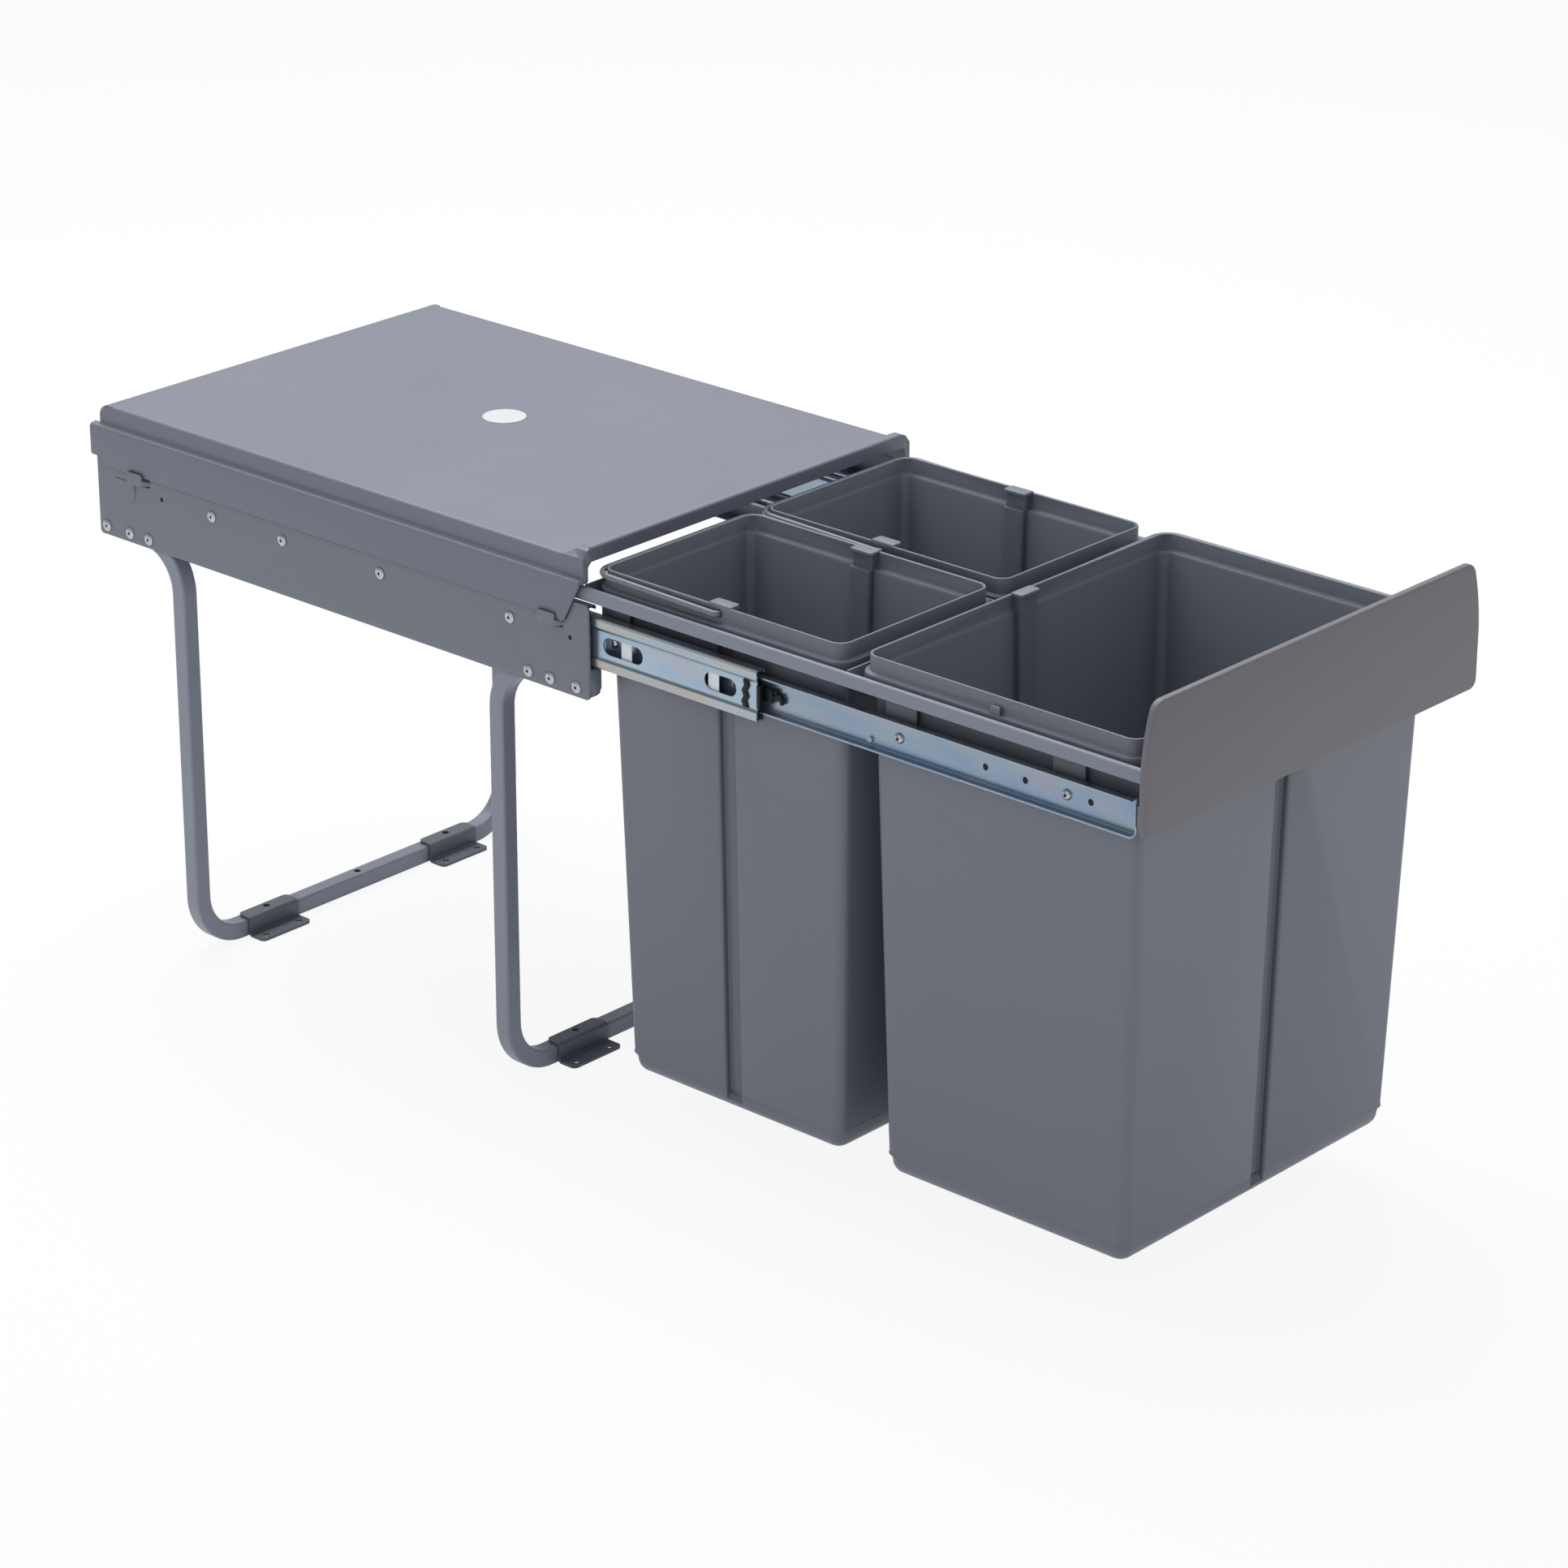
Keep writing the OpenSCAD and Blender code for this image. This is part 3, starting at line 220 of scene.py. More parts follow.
def newGroup(name, inputs, outputs):
    tree = bpy.data.node_groups.new(name, "ShaderNodeTree")
    for label, kind, value in inputs:
        socket = tree.interface.new_socket(label, in_out="INPUT", socket_type=kind)
        socket.default_value = value
    for label, kind in outputs:
        tree.interface.new_socket(label, in_out="OUTPUT", socket_type=kind)
    return tree, addNode(tree, "NodeGroupInput"), addNode(tree, "NodeGroupOutput")


def maths(tree, operation, first, second=None, third=None, clamp=False):
    node = addNode(tree, "ShaderNodeMath", operation=operation, use_clamp=clamp)
    for i, value in enumerate((first, second, third)):
        if value is None:
            continue
        if isinstance(value, (int, float)):
            node.inputs[i].default_value = value
        else:
            link(tree, value, node.inputs[i])
    return node.outputs[0]


def mixColours(tree, share, first, second, blend="MIX"):
    node = addNode(tree, "ShaderNodeMix", data_type="RGBA", blend_type=blend)
    for socket, value in ((node.inputs[0], share), (node.inputs[6], first), (node.inputs[7], second)):
        if isinstance(value, (int, float, tuple)):
            socket.default_value = value
        else:
            link(tree, value, socket)
    return node.outputs[2]


def rampOf(tree, value, stops):
    node = addNode(tree, "ShaderNodeValToRGB")
    ramp = node.color_ramp
    while len(ramp.elements) < len(stops):
        ramp.elements.new(0.5)
    for element, (place, colour) in zip(ramp.elements, stops):
        element.position = place
        element.color = colour
    link(tree, value, node.inputs[0])
    return node.outputs[0]


def noiseOf(tree, scale, detail=3.0, stretch=(1, 1, 1), roughness=0.5):
    place = addNode(tree, "ShaderNodeTexCoord")
    mapping = addNode(tree, "ShaderNodeMapping")
    mapping.inputs["Scale"].default_value = stretch
    link(tree, place.outputs["Object"], mapping.inputs["Vector"])
    node = addNode(tree, "ShaderNodeTexNoise")
    if isinstance(scale, (int, float)):
        setSocket(node, "Scale", scale)
    else:
        link(tree, scale, node.inputs["Scale"])
    setSocket(node, "Detail", detail)
    setSocket(node, "Roughness", roughness)
    link(tree, mapping.outputs[0], node.inputs["Vector"])
    return node.outputs[0]


def grey(value):
    return (value, value, value, 1)


# a colour written as it shows on screen, made linear
def paintTint(hexText):
    parts = [int(hexText[i:i + 2], 16) / 255 for i in (0, 2, 4)]
    return tuple([c / 12.92 if c < 0.04045 else ((c + 0.055) / 1.055) ** 2.4 for c in parts] + [1.0])


# shared effects

# a mask that is 1 on sharp edges and 0 on flat faces, broken up a little; it lightens the edges, partly as
# scuffs and partly as painted highlight
def makeEdgeWearAndHighlight():
    tree, inside, outside = newGroup("edgeWearAndHighlight", [
        ("Radius", "NodeSocketFloat", 0.0008), ("Strength", "NodeSocketFloat", 4.0)],
        [("Mask", "NodeSocketFloat")])
    rounded = addNode(tree, "ShaderNodeBevel", samples=4)
    link(tree, inside.outputs["Radius"], rounded.inputs["Radius"])
    surface = addNode(tree, "ShaderNodeNewGeometry")
    same = addNode(tree, "ShaderNodeVectorMath", operation="DOT_PRODUCT")
    link(tree, rounded.outputs[0], same.inputs[0])
    link(tree, surface.outputs["Normal"], same.inputs[1])
    bend = maths(tree, "SUBTRACT", 1.0, same.outputs["Value"], clamp=True)
    strong = maths(tree, "MULTIPLY", bend, inside.outputs["Strength"], clamp=True)
    patches = maths(tree, "MULTIPLY_ADD", noiseOf(tree, 60.0, detail=2.0), 0.9, 0.45)
    mask = maths(tree, "MULTIPLY", strong, patches, clamp=True)
    link(tree, mask, outside.inputs["Mask"])
    return tree


# a slow drift of lightness over a surface, with finer mottling on top
def makeColourDrift():
    tree, inside, outside = newGroup("colourDrift", [
        ("Color", "NodeSocketColor", grey(0.5)), ("Amount", "NodeSocketFloat", 0.05),
        ("Scale", "NodeSocketFloat", 6.0)],
        [("Color", "NodeSocketColor"), ("Value", "NodeSocketFloat")])
    broad = noiseOf(tree, inside.outputs["Scale"], detail=2.0)
    fine = noiseOf(tree, 90.0, detail=4.0)
    both = maths(tree, "ADD", maths(tree, "MULTIPLY", broad, 0.75), maths(tree, "MULTIPLY", fine, 0.25))
    centred = maths(tree, "SUBTRACT", both, 0.5)
    scaled = maths(tree, "MULTIPLY", centred, inside.outputs["Amount"])
    lift = maths(tree, "ADD", maths(tree, "MULTIPLY", scaled, 2.0), 1.0)
    adjust = addNode(tree, "ShaderNodeHueSaturation")
    link(tree, inside.outputs["Color"], adjust.inputs["Color"])
    link(tree, lift, adjust.inputs["Value"])
    link(tree, adjust.outputs[0], outside.inputs["Color"])
    link(tree, both, outside.inputs["Value"])
    return tree


# the height of a fine grain, as of powder coat or a moulded skin
def makeFineGrain():
    tree, inside, outside = newGroup("fineGrain", [
        ("Scale", "NodeSocketFloat", 900.0)], [("Height", "NodeSocketFloat")])
    small = noiseOf(tree, inside.outputs["Scale"], detail=2.0)
    wide = noiseOf(tree, 120.0, detail=2.0)
    both = maths(tree, "ADD", maths(tree, "MULTIPLY", small, 0.6), maths(tree, "MULTIPLY", wide, 0.4))
    link(tree, both, outside.inputs["Height"])
    return tree


# how open a spot is: 0 deep in a narrow hollow and 1 on open faces; the coats darken their colour by it, as
# painted shade in corners, gaps and hollows
def makePaintedCreviceShade():
    tree, inside, outside = newGroup("paintedCreviceShade", [
        ("Distance", "NodeSocketFloat", 0.003)], [("Open", "NodeSocketFloat")])
    shade = addNode(tree, "ShaderNodeAmbientOcclusion", samples=8)
    link(tree, inside.outputs["Distance"], shade.inputs["Distance"])
    link(tree, shade.outputs["AO"], outside.inputs["Open"])
    return tree


# a thin film on faces that look up
def makeDust():
    tree, inside, outside = newGroup("dustFilm", [
        ("Amount", "NodeSocketFloat", 0.1)], [("Mask", "NodeSocketFloat")])
    surface = addNode(tree, "ShaderNodeNewGeometry")
    split = addNode(tree, "ShaderNodeSeparateXYZ")
    link(tree, surface.outputs["Normal"], split.inputs[0])
    facing = maths(tree, "MAXIMUM", split.outputs["Z"], 0.0)
    patches = maths(tree, "MULTIPLY", noiseOf(tree, 14.0, detail=5.0), facing)
    link(tree, maths(tree, "MULTIPLY", patches, inside.outputs["Amount"], clamp=True),
         outside.inputs["Mask"])
    return tree


# a few hairline rubs: thin lines where a stretched noise crosses its middle
def makeScratches():
    tree, inside, outside = newGroup("hairlineRubs", [
        ("Amount", "NodeSocketFloat", 0.3)], [("Mask", "NodeSocketFloat")])
    lines = noiseOf(tree, 9.0, detail=1.0, stretch=(1.0, 0.6, 3.0))
    middle = maths(tree, "ABSOLUTE", maths(tree, "SUBTRACT", lines, 0.5))
    thin = maths(tree, "SUBTRACT", 1.0, maths(tree, "MULTIPLY", middle, 160.0), clamp=True)
    somewhere = noiseOf(tree, 5.0, detail=2.0, stretch=(1.3, 1.0, 0.8))
    here = maths(tree, "GREATER_THAN", somewhere, 0.6)
    mask = maths(tree, "MULTIPLY", maths(tree, "MULTIPLY", thin, here), inside.outputs["Amount"])
    link(tree, mask, outside.inputs["Mask"])
    return tree


# noises are scale, detail and stretch; the flange begins at Half from Middle, behind a dark line of painted
# shade along the bend
filmShape = {
    "streaks": (20.0, 3.0, (2.0, 0.7, 2.6)), "blotches": (34.0, 2.0, (1.0, 0.55, 1.0)),
    "straw": (26.0, 2.0, (1.0, 0.4, 3.0)), "patches": (30.0, 3.0, (1.0, 0.5, 2.0)),
    "lines": (140.0, 3.0, (1.0, 0.15, 1.0)), "roughSpread": 0.16, "roughLeast": 0.2,
    "flangeSharp": 700.0, "bendShadeSharp": 750.0, "bendShadeShare": 0.75, "bendShadeGrey": 0.09,
}


# the blue, straw and rose sheen of bright zinc plate, in streaks along the slide, with a dark line of painted
# shade where the web bends into the flange
def makeZincFilm():
    s = filmShape
    tree, inside, outside = newGroup("zincFilm", [
        ("Base", "NodeSocketColor", grey(0.6)), ("Blue", "NodeSocketColor", grey(0.6)),
        ("Straw", "NodeSocketColor", grey(0.6)), ("Rose", "NodeSocketColor", grey(0.6)),
        ("Middle", "NodeSocketFloat", 0.0), ("Half", "NodeSocketFloat", 1.0)],
        [("Color", "NodeSocketColor"), ("Roughness", "NodeSocketFloat")])
    blueShare = rampOf(tree, noiseOf(tree, *s["streaks"]), [(0.38, grey(0)), (0.62, grey(1))])
    first = mixColours(tree, blueShare, inside.outputs["Base"], inside.outputs["Blue"])
    roseShare = rampOf(tree, noiseOf(tree, *s["blotches"]), [(0.54, grey(0)), (0.72, grey(0.6))])
    second = mixColours(tree, roseShare, first, inside.outputs["Rose"])
    strawShare = rampOf(tree, noiseOf(tree, *s["straw"]), [(0.56, grey(0)), (0.76, grey(0.4))])
    place = addNode(tree, "ShaderNodeTexCoord")
    split = addNode(tree, "ShaderNodeSeparateXYZ")
    link(tree, place.outputs["Object"], split.inputs[0])
    away = maths(tree, "ABSOLUTE", maths(tree, "SUBTRACT", split.outputs["Z"], inside.outputs["Middle"]))
    beyond = maths(tree, "SUBTRACT", away, inside.outputs["Half"])
    flange = maths(tree, "MULTIPLY", beyond, s["flangeSharp"], clamp=True)
    patches = rampOf(tree, noiseOf(tree, *s["patches"]), [(0.38, grey(0.35)), (0.6, grey(1.0))])
    both = maths(tree, "MAXIMUM", maths(tree, "MULTIPLY", flange, patches), strawShare)
    third = mixColours(tree, both, second, inside.outputs["Straw"])
    # painted shade: a thin dark line along the bend between web and flange
    off = maths(tree, "MULTIPLY", maths(tree, "ABSOLUTE", beyond), s["bendShadeSharp"])
    paintedBendShade = maths(tree, "SUBTRACT", 1.0, off, clamp=True)
    shaded = mixColours(tree, maths(tree, "MULTIPLY", paintedBendShade, s["bendShadeShare"]), third, grey(s["bendShadeGrey"]))
    link(tree, shaded, outside.inputs["Color"])
    rough = maths(tree, "MULTIPLY_ADD", noiseOf(tree, *s["lines"]), s["roughSpread"], s["roughLeast"])
    link(tree, rough, outside.inputs["Roughness"])
    return tree


edgeWearAndHighlight = makeEdgeWearAndHighlight()
colourDrift = makeColourDrift()
fineGrain = makeFineGrain()
paintedCreviceShade = makePaintedCreviceShade()
dustFilm = makeDust()
hairlineRubs = makeScratches()
zincFilm = makeZincFilm()
print("shared effects made")


def useGroup(tree, group, **values):
    node = addNode(tree, "ShaderNodeGroup")
    node.node_tree = group
    for key, value in values.items():
        if isinstance(value, (int, float, tuple)):
            node.inputs[key].default_value = value
        else:
            link(tree, value, node.inputs[key])
    return node


def startMaterial(name):
    material = bpy.data.materials.new(name)
    material.use_nodes = True
    tree = material.node_tree
    return material, tree, tree.nodes["Principled BSDF"]


# rounds sharp edges to the light and lays the grain over them
def softNormal(tree, shader, height, strength, distance, radius):
    rounded = addNode(tree, "ShaderNodeBevel", samples=4)
    setSocket(rounded, "Radius", radius)
    bump = addNode(tree, "ShaderNodeBump")
    setSocket(bump, "Strength", strength)
    setSocket(bump, "Distance", distance)
    link(tree, height, bump.inputs["Height"])
    link(tree, rounded.outputs[0], bump.inputs["Normal"])
    link(tree, bump.outputs[0], shader.inputs["Normal"])


# powder coat, paint or moulded plastic: one colour with drift, grain, edges lightened (scuffs and painted
# highlight), rubs, dust and painted shade in hollows
def makeCoat(name, look):
    material, tree, shader = startMaterial(name)
    base = useGroup(tree, colourDrift, Color=paintTint(look["colour"]), Amount=look["drift"],
                    Scale=look["driftScale"])
    # edges lightened: partly scuffed paint, partly painted highlight
    edgeWearAndHighlightMask = useGroup(tree, edgeWearAndHighlight, Radius=look["edgeRadius"] * 1.4, Strength=look["edgeStrength"])
    wornAndHighlitEdges = mixColours(tree, edgeWearAndHighlightMask.outputs[0], base.outputs[0], paintTint(look["edgeColour"]))
    rubs = useGroup(tree, hairlineRubs, Amount=look["rubs"])
    rubbed = mixColours(tree, rubs.outputs[0], wornAndHighlitEdges, paintTint(look["edgeColour"]))
    dust = useGroup(tree, dustFilm, Amount=look["dust"])
    dusty = mixColours(tree, dust.outputs[0], rubbed, paintTint(look["dustColour"]))
    # painted shade: the colour goes towards a near black grey where the spot is closed in
    paintedShadeOpenness = useGroup(tree, paintedCreviceShade, Distance=look["paintedShadeReach"])
    deep = mixColours(tree, look["paintedShadeShare"], dusty, grey(look["paintedShadeGrey"]))
    link(tree, mixColours(tree, paintedShadeOpenness.outputs[0], deep, dusty), shader.inputs["Base Color"])
    rough = maths(tree, "MULTIPLY_ADD", base.outputs["Value"], look["roughSpread"],
                  look["roughness"] - look["roughSpread"] / 2)
    link(tree, rough, shader.inputs["Roughness"])
    setSocket(shader, "Specular IOR Level", look["gloss"])
    grain = useGroup(tree, fineGrain, Scale=look["grainScale"])
    softNormal(tree, shader, grain.outputs[0], look["grain"], 0.0002, look["edgeRadius"])
    return material


def makeZinc(name, look):
    material, tree, shader = startMaterial(name)
    film = useGroup(tree, zincFilm, Middle=look["middle"], Half=look["half"],
                    Base=paintTint(look["base"]), Blue=paintTint(look["blue"]),
                    Straw=paintTint(look["straw"]), Rose=paintTint(look["rose"]))
    # near white edges: partly scuffs, partly painted highlight
    edgeWearAndHighlightMask = useGroup(tree, edgeWearAndHighlight, Radius=0.0005, Strength=3.0)
    wornAndHighlitEdges = mixColours(tree, edgeWearAndHighlightMask.outputs[0], film.outputs["Color"], paintTint(look["edgeColour"]))
    link(tree, wornAndHighlitEdges, shader.inputs["Base Color"])
    link(tree, film.outputs["Roughness"], shader.inputs["Roughness"])
    setSocket(shader, "Metallic", look["metallic"])
    lines = noiseOf(tree, 300.0, detail=2.0, stretch=(1.0, 0.05, 1.0))
    softNormal(tree, shader, lines, look["lines"], 0.0001, 0.0004)
    return material


def makeBareMetal(name, look):
    material, tree, shader = startMaterial(name)
    base = useGroup(tree, colourDrift, Color=paintTint(look["colour"]), Amount=look["drift"],
                    Scale=look["driftScale"])
    # lighter edges: partly scuffs, partly painted highlight
    edgeWearAndHighlightMask = useGroup(tree, edgeWearAndHighlight, Radius=look["edgeRadius"], Strength=look["edgeStrength"])
    wornAndHighlitEdges = mixColours(tree, edgeWearAndHighlightMask.outputs[0], base.outputs[0], paintTint(look["edgeColour"]))
    link(tree, wornAndHighlitEdges, shader.inputs["Base Color"])
    rough = maths(tree, "MULTIPLY_ADD", base.outputs["Value"], look["roughSpread"],
                  look["roughness"] - look["roughSpread"] / 2)
    link(tree, rough, shader.inputs["Roughness"])
    setSocket(shader, "Metallic", look["metallic"])
    grain = noiseOf(tree, look["grainScale"], detail=2.0)
    softNormal(tree, shader, grain, look["grain"], 0.0001, look["edgeRadius"])
    return material


coatLook = {
    "colour": "777c87", "drift": 0.035, "driftScale": 5.0, "edgeColour": "a6a8ae", "edgeRadius": 0.0007,
    "edgeStrength": 0.9, "rubs": 0.0, "dust": 0.05, "roughness": 0.46, "roughSpread": 0.1, "gloss": 0.5,
    "grainScale": 900.0, "grain": 0.22, "paintedShadeReach": 0.004, "paintedShadeShare": 0.75, "paintedShadeGrey": 0.02,
    "dustColour": "b4b2b0",
}
panelPaint = makeCoat("panelPaint", coatLook)
lidPaint = makeCoat("lidPaint", {**coatLook, "colour": "747785", "roughness": 0.42, "drift": 0.03,
                                 "dust": 0.12})
legPaint = makeCoat("legPaint", {**coatLook, "colour": "8b91a0", "roughness": 0.4, "edgeRadius": 0.001})
footPaint = makeCoat("footPaint", {**coatLook, "colour": "636872"})
railPaint = makeCoat("railPaint", {**coatLook, "colour": "868d9b", "roughness": 0.42})
# the hangers' paint is darker than the rails': painted shade, as they sit back in the shadow of the rails
hangerPaintedShade = makeCoat("hangerPaintedShade", {**coatLook, "colour": "5b5f68"})
frontPaint = makeCoat("frontPaint", {**coatLook, "colour": "757379", "roughness": 0.5, "drift": 0.04})
# the bins reach far with painted shade, darkening the gaps between them and their insides
binPlastic = makeCoat("binPlastic", {
    **coatLook, "colour": "727783", "edgeColour": "8f939d", "edgeStrength": 0.7, "drift": 0.05,
    "paintedShadeReach": 0.022, "paintedShadeShare": 0.7,
    "driftScale": 7.0, "rubs": 0.1, "dust": 0.1, "roughness": 0.44, "gloss": 0.5, "grainScale": 1400.0,
    "grain": 0.16})
handleCoat = makeCoat("handleCoat", {**coatLook, "colour": "6f747c", "roughness": 0.3, "gloss": 0.6})
blackPlasticAndHoleShade = makeCoat("blackPlasticAndHoleShade", {
    **coatLook, "colour": "0f1011", "edgeColour": "2a2b2e", "roughness": 0.42, "dust": 0.01,
    "gloss": 0.3})
slideZ = (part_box("slide_outer_left")[0].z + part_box("slide_outer_left")[1].z) / 2
zincLook = {
    "base": "96a4b2", "blue": "869db6", "straw": "aaa794", "rose": "a59cb0", "metallic": 0.8,
    "lines": 0.12, "middle": slideZ, "half": 1.0, "edgeColour": "f2f4f4",
}
zincPlate = makeZinc("zincPlate", zincLook)
zincMiddle = makeZinc("zincMiddle", {
    **zincLook, "base": "a9bbca", "blue": "9bb5c9", "straw": "b3b1ac", "rose": "b4aec0", "half": 0.0105})
metalLook = {
    "colour": "d8dadb", "roughness": 0.14, "roughSpread": 0.2, "metallic": 1.0, "drift": 0.12,
    "driftScale": 60.0, "edgeColour": "fafafa", "edgeRadius": 0.0004, "edgeStrength": 3.0, "grain": 0.15,
    "grainScale": 700.0,
}
cageSteel = makeBareMetal("cageSteel", {**metalLook, "colour": "eceeef", "roughness": 0.45, "metallic": 0.05})
ballSteel = makeBareMetal("ballSteel", metalLook)
rivetMetal = makeBareMetal("rivetMetal", {**metalLook, "colour": "b9bbbe", "roughness": 0.22})
labelPaper = makeCoat("labelPaper", {
    **coatLook, "colour": "d3d5d8", "edgeColour": "e4e5e6", "drift": 0.02, "roughness": 0.35,
    "dust": 0.02, "grain": 0.05})
print("materials made")

nodeFinish = {
    "side_panel": panelPaint, "lid_cover": lidPaint, "leg_front": legPaint, "leg_rear": legPaint,
    "foot_": footPaint, "slide_rivets": rivetMetal, "leg_rivets": rivetMetal,
    "slide_outer": zincPlate, "slide_middle": zincMiddle, "slide_inner": zincPlate,
    "cage_": cageSteel, "balls_": ballSteel, "bumper_": blackPlasticAndHoleShade, "release_lever": blackPlasticAndHoleShade,
    "side_rail": railPaint, "front_rail": railPaint, "rear_rail": railPaint, "cross_bar": railPaint,
    "centre_bar": railPaint, "hangers_": hangerPaintedShade, "hanger_rivets": rivetMetal,
    "front_bracket": railPaint, "front_screws": rivetMetal, "front_panel": frontPaint,
    "bin_": binPlastic, "handle_": handleCoat,
}
for nodeName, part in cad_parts.items():
    found = [finish for start, finish in nodeFinish.items() if nodeName.startswith(start)]
    part.data.materials.clear()
    part.data.materials.append(found[0])


# the bins

binShape = {
    "wall": 0.002, "flange": 0.0036, "flangeLip": 0.0109, "lipWall": 0.0015, "collar": 0.0111,
    "capRise": 0.0008, "capThick": 0.0024, "capReach": 0.010, "capHalf": 0.0095, "capIn": 0.0004,
    "capRound": 0.002, "capEdge": 0.0006, "headSetback": 0.0015, "headLap": 0.0015, "headRound": 0.0015,
    "lean": 0.0083, "baseHeight": 0.014, "baseStep": 0.0008, "baseRound": 0.010, "bead": 0.0003,
    "rimCorner": 0.010, "bodyCorner": 0.008, "grooveHalf": 0.0065, "grooveDepth": 0.005,
    "grooveFlare": 0.0016, "grooveRise": 0.008, "grooveRound": 0.0012, "grooveRunOut": 0.004,
    "columnRise": 0.006, "columnGap": 0.0006, "columnRound": 0.002,
    "endStep": 0.0015, "smallSideStep": 0.0042, "largeSideStep": 0.005,
    "pivotRise": 0.006, "pinHole": 0.0026, "pinReach": 0.007, "pinOut": 0.002, "cornerSteps": 7,
}
roundAngles = (0, 20, 40, 60, 78, 90)
# small roundings of the bins' outline: how far each loop is up, grown and rounded more
binCurves = {
    "lipUnder": ((0.0004, 0.0, 0.0),),
    "lipEdge": ((0.0, -0.0012, 0.0), (0.0005, 0.0, 0.0)),
    "lipTop": ((-0.0014, 0.0, 0.0), (-0.0005, -0.0007, 0.0), (-0.0002, -0.0026, -0.0012)),
    "rimFoot": ((0.0, 0.0016, 0.0008), (0.0003, 0.0005, 0.0002), (0.001, 0.0, 0.0)),
    "rimOut": ((-0.0007, 0.0, 0.0), (-0.0002, -0.0004, 0.0), (0.0, -0.0014, 0.0)),
    "rimIn": ((-0.0003, 0.0004, 0.0), (-0.0007, 0.0, 0.0)),
    "footIn": ((0.0012, 0.0, 0.0), (0.0002, -0.0008, 0.0)),
    "bodyIn": ((-0.0004, 0.0016, 0.0), (-0.0022, 0.0, 0.0)),
}


# the loops of a bin from the middle of its underside, up the outside, over the rim and down inside:
# height, width, depth and corner radius
def binRings(w, d, stepW, stepD, bottom, rim):
    s = binShape
    wall, r, bead, corner = s["wall"], s["baseRound"], s["bead"], s["bodyCorner"]
    flangeZ = rim - s["collar"]
    under = flangeZ - wall
    lipZ = flangeZ - s["flangeLip"]
    shoulder = bottom + s["baseHeight"]
    lipCorner = s["rimCorner"] + s["flange"]
    rings = []

    def smaller(size, step):
        return size[0] - 2 * step, size[1] - 2 * step

    def loop(z, size, grow, radius):
        rings.append((z, size[0] + grow, size[1] + grow, radius))

    def curve(name, z, size, radius):
        for rise, grow, more in binCurves[name]:
            loop(z + rise, size, grow, radius + more)

    full = (w, d)
    body = (w - 2 * stepW, d - 2 * stepD)
    low = smaller(body, s["lean"])
    base = smaller(low, s["baseStep"])
    lip = smaller(full, -s["flange"])
    lipIn = smaller(lip, s["lipWall"])
    for angle in roundAngles:
        a = math.radians(angle)
        inset = r * (1 - math.sin(a))
        loop(bottom + r * (1 - math.cos(a)), smaller(base, inset), 0, r + 0.0006 - inset)
    loop(shoulder - 0.0006, base, 0, corner + 0.0005)
    for rise, beads, more in ((-0.0001, 1, 0.0003), (0.0004, 2, 0), (0.0010, 1, 0), (0.0018, 0, 0)):
        loop(shoulder + rise, low, beads * bead, corner + more)
    loop(under - 0.001, body, 0, corner)
    loop(under, body, 0.001, corner)
    loop(under - 0.0002, lipIn, 0, lipCorner - s["lipWall"])
    curve("lipUnder", lipZ, lipIn, lipCorner - s["lipWall"])
    curve("lipEdge", lipZ, lip, lipCorner)
    curve("lipTop", flangeZ, lip, lipCorner)
    curve("rimFoot", flangeZ, full, s["rimCorner"])
    curve("rimOut", rim, full, s["rimCorner"])
    inside = smaller(full, wall)
    loop(rim - 0.0001, inside, 0.0014, s["rimCorner"] - 0.001)
    curve("rimIn", rim, inside, s["rimCorner"] - wall)
    curve("footIn", flangeZ, inside, s["rimCorner"] - wall)
    curve("bodyIn", flangeZ, smaller(body, wall), corner - wall)
    floorIn = smaller(base, wall)
    loop(bottom + r, floorIn, 0, r - wall)
    inner = r - wall
    for angle in reversed(roundAngles[:-1]):
        a = math.radians(angle)
        inset = inner * (1 - math.sin(a))
        loop(bottom + wall + inner * (1 - math.cos(a)), smaller(floorIn, inset), 0, inner + 0.0006 - inset)
    return rings


# rounded rectangles, each a plane with its corners bevelled, bridged one to the next
def ringedSolid(name, rings, steps):
    loops = []
    last = len(rings) - 1
    for i, (z, w, d, radius) in enumerate(rings):
        deselectAll()
        bpy.ops.mesh.primitive_plane_add(size=1, location=(0, 0, z))
        loop = bpy.context.object
        loop.scale = (w, d, 1)
        applyPlace(loop)
        editAll()
        bpy.ops.mesh.bevel(offset=radius, segments=steps, profile=0.5, affect="VERTICES")
        if 0 < i < last:
            bpy.ops.mesh.select_all(action="SELECT")
            bpy.ops.mesh.delete(type="ONLY_FACE")
        done()
        group = loop.vertex_groups.new(name="ring%02d" % i)
        group.add(list(range(len(loop.data.vertices))), 1.0, "REPLACE")
        loops.append(loop)
    solid = joinAll(loops, name)
    bpy.ops.object.mode_set(mode="EDIT")
    bpy.ops.mesh.select_mode(type="EDGE")
    for i in range(last):
        bpy.ops.mesh.select_all(action="DESELECT")
        for k in (i, i + 1):
            solid.vertex_groups.active_index = solid.vertex_groups["ring%02d" % k].index
            bpy.ops.object.vertex_group_select()
        bpy.ops.mesh.bridge_edge_loops()
    done()
    solid.vertex_groups.clear()
    cleanUp(solid)
    return solid


# a block whose lower end leans in by that much
def leaningBlock(name, low, high, lean):
    block = addCube(name, low, high)
    pick(block, "VERT", lambda p: p.z < (low[2] + high[2]) / 2)
    bpy.ops.transform.translate(value=(lean, 0, 0))
    done()
    return block


